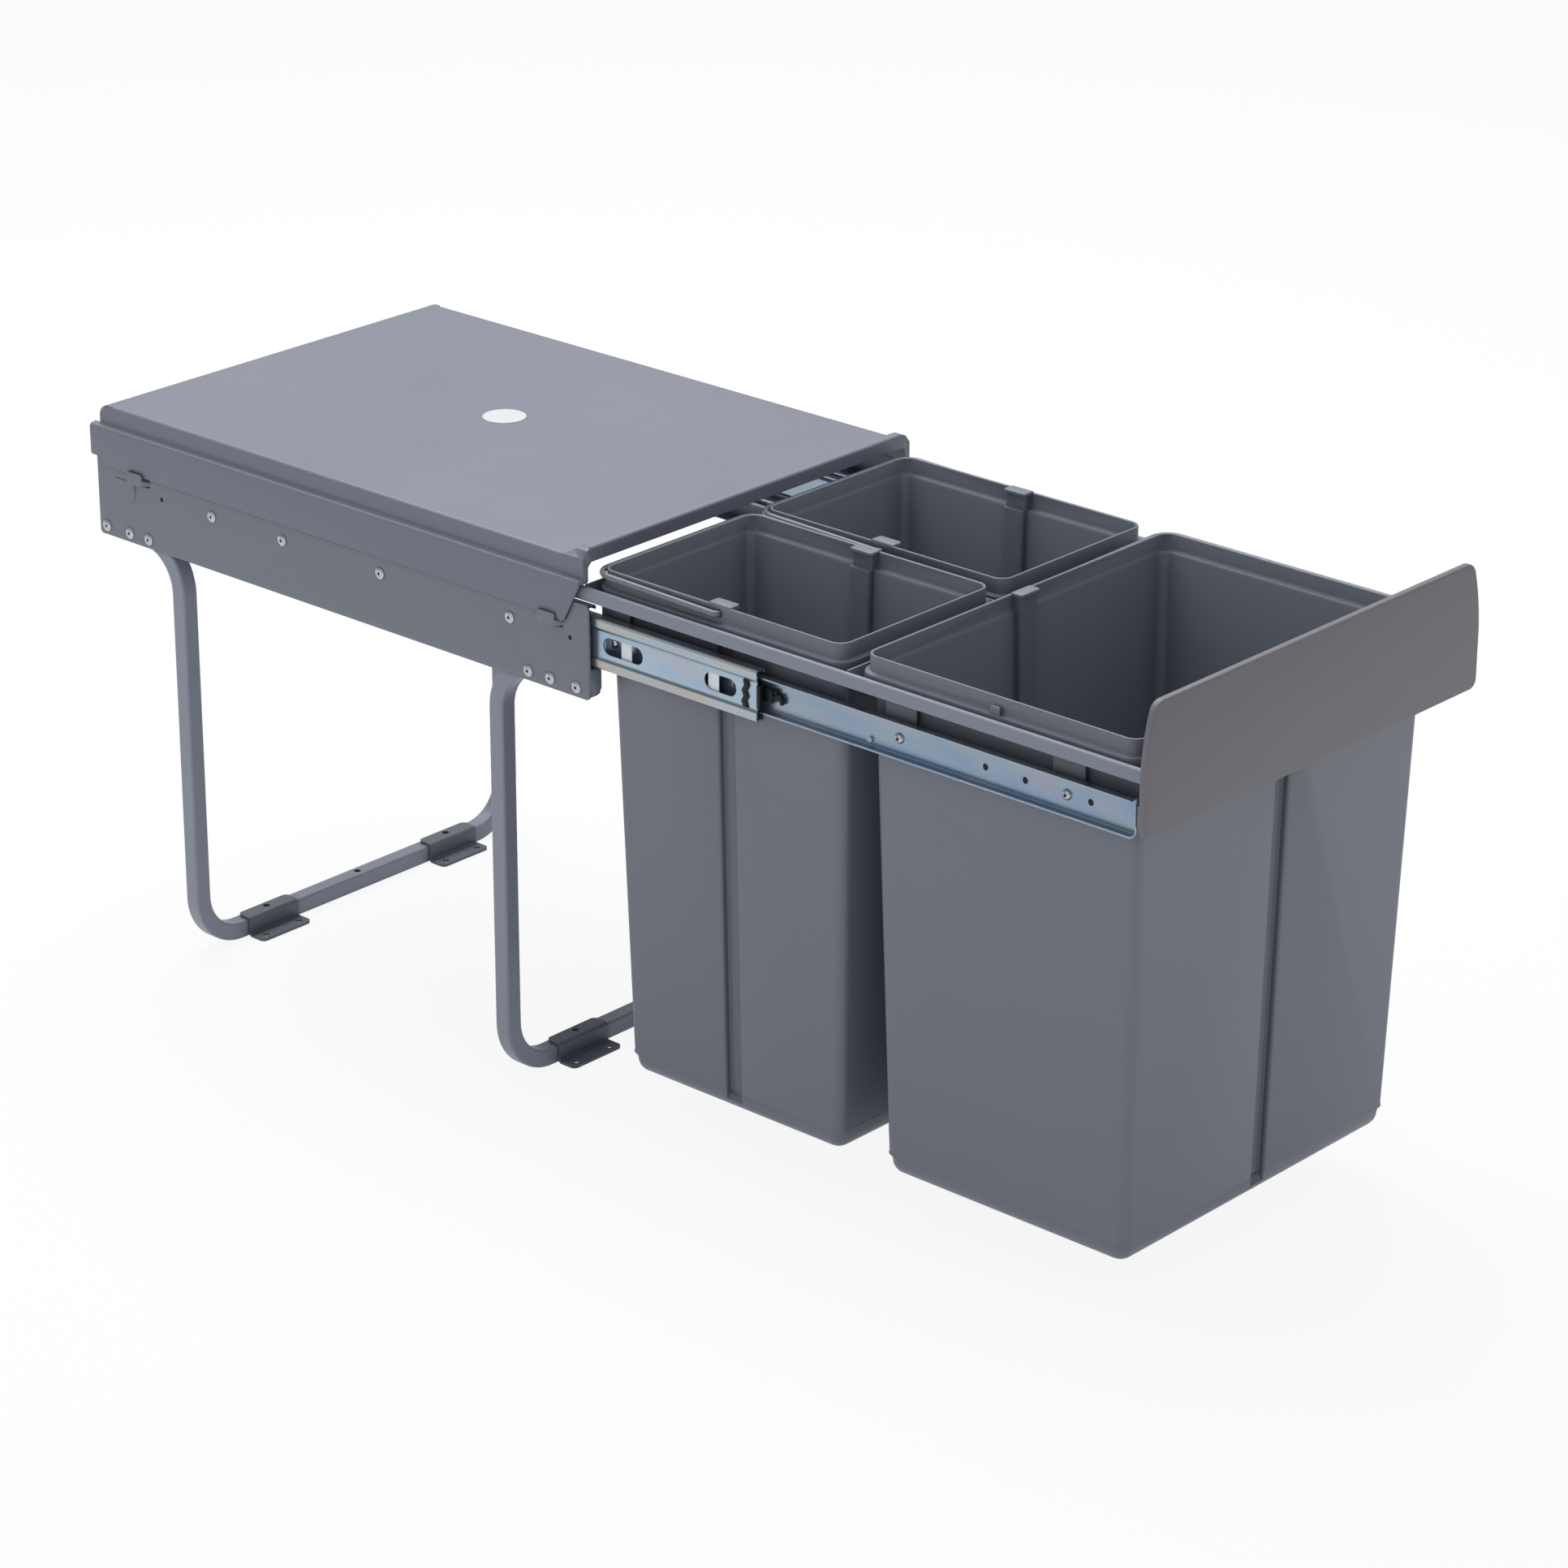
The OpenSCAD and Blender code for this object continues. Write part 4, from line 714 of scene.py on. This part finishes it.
# stands in the left wall: narrow inside, and flared at its mouth so that the edges are soft
def grooveCutter(wallX, bottomZ, topZ, lean):
    s = binShape
    half, depth, flare = s["grooveHalf"], s["grooveDepth"], s["grooveFlare"]
    block = addCube("grooveTool", (wallX + flare, -half, bottomZ), (wallX + depth, half, topZ))
    pick(block, "EDGE", lambda a, b: min(a.x, b.x) > wallX + depth - 0.0001 and abs(a.z - b.z) > 0.01)
    bevelPicked(s["grooveRound"], 3)
    pick(block, "FACE", lambda c, n: n.x < -0.9)
    for move, grow in ((0.45, 0.25), (0.35, 0.42), (0.2, 0.75)):  # shares of the flare
        bpy.ops.mesh.extrude_region_move(TRANSFORM_OT_translate={"value": (-flare * move, 0, 0)})
        wide = half + flare * grow
        bpy.ops.transform.resize(value=(1, wide / half, 1), center_override=(wallX, 0, 0))
        half = wide
    bpy.ops.mesh.extrude_region_move(TRANSFORM_OT_translate={"value": (-0.006, 0, 0)})
    done()
    pick(block, "VERT", lambda p: p.z < (bottomZ + topZ) / 2)
    bpy.ops.transform.translate(value=(lean, 0, 0))
    done()
    pick(block, "VERT", lambda p: p.z < (bottomZ + topZ) / 2 and p.x > wallX + lean + depth - 0.002)
    bpy.ops.transform.translate(value=(0, 0, s["grooveRunOut"]))
    done()
    return block


# adds the same piece on the other side, and makes both one
def mirrorX(obj):
    makeActive(obj)
    step = obj.modifiers.new("other side", "MIRROR")
    step.use_axis = (True, False, False)
    step.use_mirror_merge = False
    bpy.ops.object.modifier_apply(modifier=step.name)
    editAll()
    bpy.ops.mesh.normals_make_consistent(inside=False)
    done()
    return obj


def makeBin(name, w, d, stepW, stepD, bottom, rim):
    s = binShape
    wall = s["wall"]
    flangeZ = rim - s["collar"]
    solid = ringedSolid(name, binRings(w, d, stepW, stepD, bottom, rim), s["cornerSteps"])
    wallX = -w / 2 + stepW
    full = flangeZ - wall - (bottom + s["baseHeight"])
    columnLow = bottom + s["columnRise"]
    columnTop = flangeZ - s["columnGap"]
    half = s["grooveHalf"] + wall
    columnLean = s["lean"] * (columnTop - columnLow) / full
    column = leaningBlock("column", (wallX + wall / 2, -half, columnLow),
                          (wallX + wall + s["grooveDepth"], half, columnTop), columnLean)
    pick(column, "EDGE", lambda a, b: abs(a.z - b.z) > 0.1 and a.x > wallX + wall + 0.002)
    bevelPicked(s["columnRound"], 4)
    head = addCube("head", (-w / 2 + wall / 2, -half, flangeZ - wall),
                   (-w / 2 + s["capReach"] - s["headSetback"], half, rim - s["capThick"] + s["headLap"]))
    pick(head, "EDGE", lambda a, b: abs(a.z - b.z) > 0.004 and a.x > -w / 2 + 0.003)
    bevelPicked(s["headRound"], 3)
    cap = addCube("cap", (-w / 2 + s["capIn"], -s["capHalf"], rim + s["capRise"] - s["capThick"]),
                  (-w / 2 + s["capReach"], s["capHalf"], rim + s["capRise"]))
    pick(cap, "EDGE", lambda a, b: abs(a.z - b.z) > 0.001 and a.x > -w / 2 + 0.003)
    bevelPicked(s["capRound"], 4)
    pick(cap, "EDGE", lambda a, b: min(a.z, b.z) > rim + s["capRise"] - 0.0001)
    bevelPicked(s["capEdge"], 3)
    for tool in (column, head, cap):
        combine(solid, mirrorX(tool), "UNION")
    cutter = mirrorX(grooveCutter(wallX, bottom + s["grooveRise"], flangeZ - wall, s["lean"]))
    combine(solid, cutter, "DIFFERENCE")
    drill = addPin("drill", 24, s["pinHole"], 2 * s["pinOut"] + s["pinReach"],
                   (-w / 2 - s["pinOut"] + s["pinReach"] / 2, 0, flangeZ + s["pivotRise"]))
    combine(solid, mirrorX(drill), "DIFFERENCE")
    cleanUp(solid, 32)
    return solid


def placeBin(solid, node, turned):
    low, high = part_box(node)
    middle = (low + high) / 2
    solid.location = (middle.x, middle.y, 0)
    if turned:
        solid.rotation_euler = (0, 0, -math.pi / 2)
    applyPlace(solid)


def binSizes(node):
    low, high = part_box(node)
    size = high - low
    flange = 2 * binShape["flange"]
    return size.x - flange, size.y - flange, low.z, high.z - binShape["capRise"]


w, d, bottom, rim = binSizes("bin_small_left")
smallBin = makeBin("smallBinLeft", w, d, binShape["smallSideStep"], binShape["endStep"], bottom, rim)
makeActive(smallBin)
bpy.ops.object.duplicate()
otherSmallBin = nameIt(bpy.context.object, "smallBinRight")
placeBin(smallBin, "bin_small_left", False)
placeBin(otherSmallBin, "bin_small_right", False)
finishPiece(smallBin, "small_bin_left", ["bin_small_left"], binPlastic)
finishPiece(otherSmallBin, "small_bin_right", ["bin_small_right"], binPlastic)

w, d, bottom, rim = binSizes("bin_large")
largeBin = makeBin("largeBin", d, w, binShape["endStep"], binShape["largeSideStep"], bottom, rim)
placeBin(largeBin, "bin_large", True)
# a small lug under the handle's bar, on the flange at both ends
lugShape = {"long": 0.0078, "rise": 0.0052, "round": 0.0016, "outIn": 0.0006, "lap": 0.0004, "sunk": 0.0006}
binLow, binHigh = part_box("bin_large")
lugY = (binLow.y + binHigh.y - lugShape["long"]) / 2, (binLow.y + binHigh.y + lugShape["long"]) / 2
lugZ = rim - binShape["collar"]
lugs = []
for side in (-1, 1):
    outX = side * (binHigh.x - lugShape["outIn"])
    inX = side * (binHigh.x - binShape["flange"] - lugShape["lap"])
    lug = addCube("lug", (min(outX, inX), lugY[0], lugZ - lugShape["sunk"]),
                  (max(outX, inX), lugY[1], lugZ + lugShape["rise"]))
    pick(lug, "EDGE", lambda a, b: min(a.z, b.z) > lugZ + 0.001)
    bevelPicked(lugShape["round"], 4)
    lugs.append(lug)
combine(largeBin, joinAll(lugs, "lugs"), "UNION")
cleanUp(largeBin, 32)
finishPiece(largeBin, "large_bin", ["bin_large"], binPlastic)
print("bins made")


# the wire handles

handleShape = {
    "wire": 0.0042, "gap": 0.0008, "barRise": 0.002, "pinReach": 0.006, "hook": 0.7,
    "sides": 16, "bendSteps": 8,
}


def makeHandle(name, w, d, pivotZ):
    s = handleShape
    armX = w / 2 + s["gap"] + s["wire"] / 2
    barY = d / 2 + s["gap"] + s["wire"] / 2
    corner = binShape["rimCorner"] + s["gap"] + s["wire"] / 2
    hook = s["wire"] * s["hook"]
    pinX = w / 2 - s["pinReach"]
    deselectAll()
    bpy.ops.mesh.primitive_circle_add(vertices=s["sides"], radius=s["wire"] / 2, fill_type="NGON",
                                      location=(pinX, 0, 0), rotation=(0, math.pi / 2, 0))
    rod = nameIt(bpy.context.object, name)
    applyPlace(rod)
    bpy.ops.object.mode_set(mode="EDIT")
    bpy.ops.mesh.select_mode(type="FACE")
    bpy.ops.mesh.select_all(action="SELECT")

    def straight(x, y):
        bpy.ops.mesh.extrude_region_move(TRANSFORM_OT_translate={"value": (x, y, 0)})

    def bend(x, y):
        bpy.ops.mesh.spin(steps=s["bendSteps"], angle=-math.pi / 2, center=(x, y, 0), axis=(0, 0, 1))

    straight(armX - hook - pinX, 0)
    bend(armX - hook, hook)
    straight(0, barY - corner - hook)
    bend(armX - corner, barY - corner)
    straight(-2 * (armX - corner), 0)
    bend(-(armX - corner), barY - corner)
    straight(0, -(barY - corner - hook))
    bend(-(armX - hook), hook)
    straight(armX - hook - pinX, 0)
    done()
    rod.location = (0, 0, pivotZ)
    rod.rotation_euler = (math.asin(s["barRise"] / barY), 0, 0)
    applyPlace(rod)
    cleanUp(rod, 40)
    return rod


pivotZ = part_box("bin_small_left")[1].z - binShape["capRise"] - binShape["collar"] + binShape["pivotRise"]
w, d, bottom, rim = binSizes("bin_small_left")
for side in ("left", "right"):
    rod = makeHandle("smallHandle" + side.title(), w, d, pivotZ)
    placeBin(rod, "bin_small_" + side, False)
    finishPiece(rod, "small_handle_" + side, ["handle_small_" + side], handleCoat)
w, d, bottom, rim = binSizes("bin_large")
rod = makeHandle("largeHandle", d, w, pivotZ)
placeBin(rod, "bin_large", True)
finishPiece(rod, "large_handle", ["handle_large"], handleCoat)
print("handles made")


# the front panel

frontShape = {"straight": 0.0576, "topInset": 0.0089, "corner": 0.0065, "kink": 0.02, "edge": 0.0013}


def makeFrontPanel():
    s = frontShape
    low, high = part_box("front_panel")
    panel = addCube("frontPanel", low, high)
    kinkZ = low.z + s["straight"]
    makeActive(panel)
    editAll()
    bpy.ops.mesh.bisect(plane_co=(0, low.y, kinkZ), plane_no=(0, 0, 1))
    done()
    pick(panel, "VERT", lambda p: p.z > high.z - 0.001)
    bpy.ops.transform.resize(value=((high.x - s["topInset"]) / high.x, 1, 1), center_override=(0, 0, 0))
    done()
    pick(panel, "EDGE", lambda a, b: abs(a.y - b.y) > 0.002 and abs(a.z - kinkZ) < 0.001)
    bevelPicked(s["kink"], 8)
    pick(panel, "EDGE", lambda a, b: abs(a.y - b.y) > 0.002
         and (a.z > high.z - 0.001 or a.z < low.z + 0.001))
    bevelPicked(s["corner"], 8)
    # the cut's line across the flat faces goes, so that the last bevel follows the outline alone
    editAll()
    bpy.ops.mesh.dissolve_limited(angle_limit=math.radians(0.4))
    done()
    pick(panel, "EDGE", lambda a, b: abs(a.y - b.y) < 0.0001)
    bevelPicked(s["edge"], 3)
    cleanUp(panel, 32)
    return panel


frontPanel = makeFrontPanel()
finishPiece(frontPanel, "carriage", ["front_panel"], frontPaint)
print("front panel made")


# the stops and levers of the slides

stopShape = {
    "plate": 0.003, "edge": 0.0005, "tongueThick": 0.0011, "tongueLap": 0.0006, "tongueIn": 0.002,
    "tongueEdge": 0.0003, "web": 0.0012, "sunk": 0.0004, "zigs": 5, "zigSwing": 0.0015,
    "zigWide": 0.0042, "zigTall": 0.0185, "zigSetback": 0.0072, "proud": 0.0012, "zigEdge": 0.0002,
}
leverShape = {
    "thick": 0.0032, "axisRise": 0.004, "edge": 0.0006, "bodyShort": 0.012, "tailLong": 0.014,
    "tailIn": 0.0004, "tailLow": -0.001, "tailHigh": 0.0042, "in": 0.0003, "arm": 0.009,
    "armStart": 0.0012, "armLap": 0.001, "armLow": -0.0014, "armHigh": 0.0032, "knob": 0.0026,
    "knobLow": -0.0034, "knobHigh": 0.0012, "bump": (0.0052, 0.0085), "bumpLow": 0.001,
    "bumpHigh": 0.0056, "pinRadius": 0.0015, "pinSetback": 0.02,
}


def softBlock(name, low, high, edge):
    block = addCube(name, low, high)
    pick(block, "EDGE", lambda a, b: True)
    bevelPicked(edge, 2)
    return block


# the ribbed black stop on the front end of the left middle section
def makeStop():
    s = stopShape
    low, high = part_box("bumper_left")
    middleZ = (low.z + high.z) / 2
    face = softBlock("stopFace", low, (high.x, low.y + s["plate"], high.z), s["edge"])
    tongueLow = (high.x - s["tongueThick"], low.y + s["plate"] - s["tongueLap"], low.z + s["tongueIn"])
    tongue = softBlock("stopTongue", tongueLow, (high.x, high.y, high.z - s["tongueIn"]), s["tongueEdge"])
    faceX = high.x - s["tongueThick"] - s["web"]
    ribY = low.y + s["plate"] + s["zigSetback"]
    zigzag = addCube("stopRib", (faceX - s["proud"], ribY, middleZ - s["zigTall"] / 2),
                     (faceX + s["sunk"], ribY + s["zigWide"], middleZ + s["zigTall"] / 2))
    makeActive(zigzag)
    for i in range(1, s["zigs"]):
        height = middleZ - s["zigTall"] / 2 + s["zigTall"] * i / s["zigs"]
        editAll()
        bpy.ops.mesh.bisect(plane_co=(0, 0, height), plane_no=(0, 0, 1))
        done()
        way = s["zigSwing"] * (1 if i % 2 else -1)
        pick(zigzag, "VERT", lambda p: abs(p.z - height) < 0.0001)
        bpy.ops.transform.translate(value=(0, way, 0))
        done()
    pick(zigzag, "EDGE", lambda a, b: max(a.x, b.x) < faceX - s["proud"] + 0.00005)
    bevelPicked(s["zigEdge"], 2)
    stop = joinAll([face, tongue, zigzag], "stopLeft")
    cleanUp(stop, 40)
    return stop


# the black lever in the channel of the left inner section
def makeLever():
    s = leverShape
    low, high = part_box("release_lever_left")
    inX, outX = low.x, low.x + s["thick"]
    axisZ = low.z + s["axisRise"]
    body = softBlock("leverBody", (inX, low.y + s["arm"], low.z), (outX, high.y - s["bodyShort"], high.z),
                     s["edge"])
    tail = softBlock("leverTail", (inX + s["tailIn"], high.y - s["tailLong"], axisZ + s["tailLow"]),
                     (outX - s["tailIn"], high.y, axisZ + s["tailHigh"]), s["edge"])
    arm = softBlock("leverArm", (inX + s["in"], low.y + s["armStart"], axisZ + s["armLow"]),
                    (outX, low.y + s["arm"] + s["armLap"], axisZ + s["armHigh"]), s["edge"])
    knob = softBlock("leverKnob", (inX + s["in"], low.y, axisZ + s["knobLow"]),
                     (outX, low.y + s["knob"], axisZ + s["knobHigh"]), s["edge"])
    bump = softBlock("leverBump", (inX + s["in"], low.y + s["bump"][0], axisZ + s["bumpLow"]),
                     (outX, low.y + s["bump"][1], axisZ + s["bumpHigh"]), s["edge"])
    pin = addPin("leverPin", 20, s["pinRadius"], high.x - inX,
                 ((high.x + inX) / 2, low.y + s["pinSetback"], axisZ))
    for part in (tail, arm, knob, bump, pin):
        combine(body, part, "UNION")
    nameIt(body, "leverLeft")
    cleanUp(body, 40)
    return body


# a copy on the right, turned over the middle plane
def otherSide(obj, name):
    makeActive(obj)
    bpy.ops.object.duplicate()
    copy = nameIt(bpy.context.object, name)
    copy.scale = (-1, 1, 1)
    applyPlace(copy)
    cleanUp(copy, 40)
    return copy


stopLeft = makeStop()
stopRight = otherSide(stopLeft, "stopRight")
leverLeft = makeLever()
leverRight = otherSide(leverLeft, "leverRight")
finishPiece(stopLeft, "middle_left", ["bumper_left"], blackPlasticAndHoleShade)
finishPiece(stopRight, "middle_right", ["bumper_right"], blackPlasticAndHoleShade)
finishPiece(leverLeft, "lever_left", ["release_lever_left"], blackPlasticAndHoleShade)
finishPiece(leverRight, "lever_right", ["release_lever_right"], blackPlasticAndHoleShade)
print("stops and levers made")


# domed heads with a hole in the middle, over the rivets of the CAD

rivetShape = {
    "panel": 0.0042, "slide": 0.0036, "rise": 0.0015, "slideRise": 0.0023, "hole": 0.0013,
    "disc": 0.0006, "holeDeep": 0.0009, "crown": 0.4, "sheet": 0.0015, "webIn": 0.0115,
    "legGap": 0.0002, "legRise": 0.0065,
    "dome": ((0.14, 0.46), (0.2, 0.37), (0.26, 0.17)),  # shares of the radius and of the rise
    "slideSetbacks": (0.0728, 0.1965, 0.2936, 0.3653), "frontLegSetbacks": (0.0119, 0.0361, 0.0563),
    "rearLegSetbacks": (0.0517, 0.0317, 0.0074), "hangerSetbacks": (0.0528, 0.1873, 0.433),
}


# one head that looks along x, away from the middle
def makeHead(x, y, z, radius, rise, side):
    s = rivetShape
    deselectAll()
    bpy.ops.mesh.primitive_cylinder_add(vertices=28, radius=radius, depth=s["disc"],
                                        location=(0, 0, s["disc"] / 2))
    head = nameIt(bpy.context.object, "head")
    applyPlace(head)
    pick(head, "FACE", lambda c, n: n.z > 0.9)
    for share, lift in s["dome"]:
        bpy.ops.mesh.inset(thickness=radius * share, depth=0)
        bpy.ops.transform.translate(value=(0, 0, (rise - s["disc"]) * lift))
    bpy.ops.mesh.inset(thickness=max(radius * s["crown"] - s["hole"], 0.0001), depth=0)
    bpy.ops.mesh.extrude_region_move(TRANSFORM_OT_translate={"value": (0, 0, -s["holeDeep"])})
    done()
    head.rotation_euler = (0, side * math.pi / 2, 0)
    head.location = (x, y, z)
    applyPlace(head)
    return head


# the floor of each hole is dark: the black finish there is painted shade for the hollow of the rivet
def finishHeads(heads, name, body):
    heads = joinAll(heads, name)
    cleanUp(heads, 50)
    heads.data.materials.append(rivetMetal)
    # the second finish, black, paints shade on the hole floors
    heads.data.materials.append(blackPlasticAndHoleShade)
    deep = rivetShape["hole"] * 1.2
    for face in heads.data.polygons:
        wide = max((heads.data.vertices[i].co - face.center).length for i in face.vertices)
        inHole = wide < deep and len(face.vertices) > 8
        face.material_index = 1 if inHole else 0
    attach(heads, body)


panelLow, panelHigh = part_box("side_panel_left")
headX = abs(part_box("leg_front")[0].x) + rivetShape["sheet"]
legZ = panelLow.z + rivetShape["legGap"] + rivetShape["legRise"]
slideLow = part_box("slide_inner_left")[0]
places = [(panelLow.y + d, slideZ) for d in rivetShape["slideSetbacks"]]
places += [(panelLow.y + d, legZ) for d in rivetShape["frontLegSetbacks"]]
places += [(panelHigh.y - d, legZ) for d in rivetShape["rearLegSetbacks"]]
finishHeads([makeHead(side * headX, y, z, rivetShape["panel"], rivetShape["rise"], side)
             for side in (-1, 1) for y, z in places], "panelRivetHeads", "frame")
webX = headX - rivetShape["sheet"] - rivetShape["webIn"]
finishHeads([makeHead(side * webX, slideLow.y + d, slideZ, rivetShape["slide"],
                      rivetShape["slideRise"], side)
             for side in (-1, 1) for d in rivetShape["hangerSetbacks"]], "hangerRivetHeads", "carriage")
print("rivet heads made")


# smooth copies of the bent sheet and tube

# a merged copy of a CAD node's mesh, its bends shaded smooth and its flats kept flat
def smoothCopy(node, angle=42):
    copy = bpy.data.objects.new(node + "Smooth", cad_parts[node].data.copy())
    bpy.context.scene.collection.objects.link(copy)
    copy.data.name = copy.name
    makeActive(copy)
    editAll()
    bpy.ops.mesh.remove_doubles(threshold=0.000005)
    done()
    bpy.ops.object.shade_smooth_by_angle(angle=math.radians(angle))
    step = copy.modifiers.new("flat faces stay flat", "WEIGHTED_NORMAL")
    step.keep_sharp = True
    bpy.ops.object.modifier_apply(modifier=step.name)
    return copy


smoothNodes = {
    "side_panel_left": ("frame", "panel_paint"), "side_panel_right": ("frame", "panel_paint"),
    "lid_cover": ("frame", "lid_paint"), "leg_front": ("frame", "leg_paint"),
    "leg_rear": ("frame", "leg_paint"), "side_rail_left": ("carriage", "rail_paint"),
    "side_rail_right": ("carriage", "rail_paint"),
}
for node, (body, slot) in smoothNodes.items():
    copy = smoothCopy(node)
    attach(copy, body)
    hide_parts(node)


# the cages between the middle and inner sections, with windows between their bars

cageShape = {
    "firstBar": 0.0393, "pitch": 0.0385, "bar": 0.0092, "bars": 3, "window": 0.016, "ends": 0.004,
    "sheet": 0.0006, "lap": 0.0008,
}
windowLow, windowHigh = slideZ - cageShape["window"] / 2, slideZ + cageShape["window"] / 2
for side in ("left", "right"):
    node = "cage_inner_" + side
    low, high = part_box(node)
    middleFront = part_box("slide_middle_" + side)[0].y
    faceX = low.x if side == "left" else high.x - cageShape["sheet"]
    cage = smoothCopy(node)
    window = addCube("window", (low.x - 0.001, low.y + cageShape["ends"], windowLow),
                     (high.x + 0.001, high.y - cageShape["ends"], windowHigh))
    combine(cage, window, "DIFFERENCE")
    for i in range(cageShape["bars"]):
        middleY = middleFront + cageShape["firstBar"] + cageShape["pitch"] * i
        barLow, barHigh = middleY - cageShape["bar"] / 2, middleY + cageShape["bar"] / 2
        bar = addCube("bar", (faceX, barLow, windowLow - cageShape["lap"]),
                      (faceX + cageShape["sheet"], barHigh, windowHigh + cageShape["lap"]))
        combine(cage, bar, "UNION")
    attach(cage, "inner_cage_" + side)
    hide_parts(node)


# the round press mark below each rear clip, cut off under the clip

markShape = {"y": 0.2252, "z": 0.3466, "radius": 0.0112, "proud": 0.0004, "top": 0.353, "clear": 0.03}
for side in (-1, 1):
    m = markShape
    mark = addPin("pressMark" + ("Left" if side < 0 else "Right"), 64, m["radius"], m["proud"] * 2,
                  (side * headX, m["y"], m["z"]))
    above = addCube("above", (-0.2, m["y"] - m["clear"], m["top"]),
                    (0.2, m["y"] + m["clear"], m["top"] + m["clear"]))
    combine(mark, above, "DIFFERENCE")
    cleanUp(mark, 60)
    mark.data.materials.append(panelPaint)
    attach(mark, "frame")
print("smooth copies, cages and press marks made")


# a blank round label on the lid

labelShape = {
    "middle": (0.0101, 0.0197), "radius": 0.0155, "thick": 0.0002, "edge": 0.0008, "lidLipRise": 0.0065,
}
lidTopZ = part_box("lid_cover")[1].z - labelShape["lidLipRise"]
deselectAll()
bpy.ops.mesh.primitive_cylinder_add(
    vertices=96, radius=labelShape["radius"], depth=labelShape["thick"],
    location=(*labelShape["middle"], lidTopZ + labelShape["thick"] / 2))
label = nameIt(bpy.context.object, "blankLabel")
applyPlace(label)
pick(label, "FACE", lambda c, n: n.z > 0.9)
bpy.ops.mesh.inset(thickness=labelShape["edge"], depth=0)
done()
cleanUp(label, 30)
label.data.materials.append(labelPaper)
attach(label, "frame")
print("label made")


# light, floor and background: the floor glows for the camera and in reflections, and keeps the shadow

lightPlan = {
    "world": 0.45,
    "lamps": [
        ("topLight", (0.5, 0.7, 2.6), (0, -0.2, 0.3), 2.4, 72.0),
        ("leftLight", (-2.8, -0.6, 1.5), (0, -0.2, 0.25), 2.0, 6.5),
        ("frontLight", (-0.4, -3.2, 1.3), (0, -0.3, 0.25), 2.0, 1.2),
    ],
    "skyColour": (0.95, 0.97, 1.0, 1.0), "floorSize": 30.0, "floorDrop": 0.0005, "floorGrey": 0.9,
    "floorGlow": 0.9,
}


def aim(obj, target):
    way = Vector(target) - obj.location
    obj.rotation_euler = way.to_track_quat("-Z", "Y").to_euler()


for lampName, place, target, size, power in lightPlan["lamps"]:
    lamp = bpy.data.lights.new(lampName, "AREA")
    lamp.shape = "SQUARE"
    lamp.size = size
    lamp.energy = power
    lampObject = bpy.data.objects.new(lampName, lamp)
    lampObject.location = place
    aim(lampObject, target)
    bpy.context.scene.collection.objects.link(lampObject)

world = bpy.data.worlds.new("studio")
bpy.context.scene.world = world
world.use_nodes = True
sky = world.node_tree
sky.nodes.clear()
rays = addNode(sky, "ShaderNodeLightPath")
plain = addNode(sky, "ShaderNodeBackground")
setSocket(plain, "Color", lightPlan["skyColour"])
setSocket(plain, "Strength", lightPlan["world"])
white = addNode(sky, "ShaderNodeBackground")
setSocket(white, "Color", grey(1.0))
setSocket(white, "Strength", 1.0)
seen = maths(sky, "ADD", rays.outputs["Is Camera Ray"], rays.outputs["Is Transmission Ray"], clamp=True)
choice = addNode(sky, "ShaderNodeMixShader")
link(sky, seen, choice.inputs[0])
link(sky, plain.outputs[0], choice.inputs[1])
link(sky, white.outputs[0], choice.inputs[2])
skyOut = addNode(sky, "ShaderNodeOutputWorld")
link(sky, choice.outputs[0], skyOut.inputs[0])

deselectAll()
bpy.ops.mesh.primitive_plane_add(size=lightPlan["floorSize"],
                                 location=(0, 0, cadBox[0][2] - lightPlan["floorDrop"]))
floor = nameIt(bpy.context.object, "studioFloor")
applyPlace(floor)
floorPaper, paper, paperShader = startMaterial("floorPaper")
setSocket(paperShader, "Base Color", grey(lightPlan["floorGrey"]))
setSocket(paperShader, "Roughness", 0.9)
setSocket(paperShader, "Specular IOR Level", 0.0)
glow = addNode(paper, "ShaderNodeEmission")
setSocket(glow, "Color", grey(1.0))
setSocket(glow, "Strength", 1.0)
paperRays = addNode(paper, "ShaderNodeLightPath")
direct = maths(paper, "ADD", paperRays.outputs["Is Camera Ray"], paperRays.outputs["Is Glossy Ray"],
               clamp=True)
share = maths(paper, "MULTIPLY", direct, lightPlan["floorGlow"])
paperMix = addNode(paper, "ShaderNodeMixShader")
link(paper, share, paperMix.inputs[0])
link(paper, paperShader.outputs[0], paperMix.inputs[1])
link(paper, glow.outputs[0], paperMix.inputs[2])
link(paper, paperMix.outputs[0], paper.nodes["Material Output"].inputs[0])
floor.data.materials.append(floorPaper)
print("light and floor made")
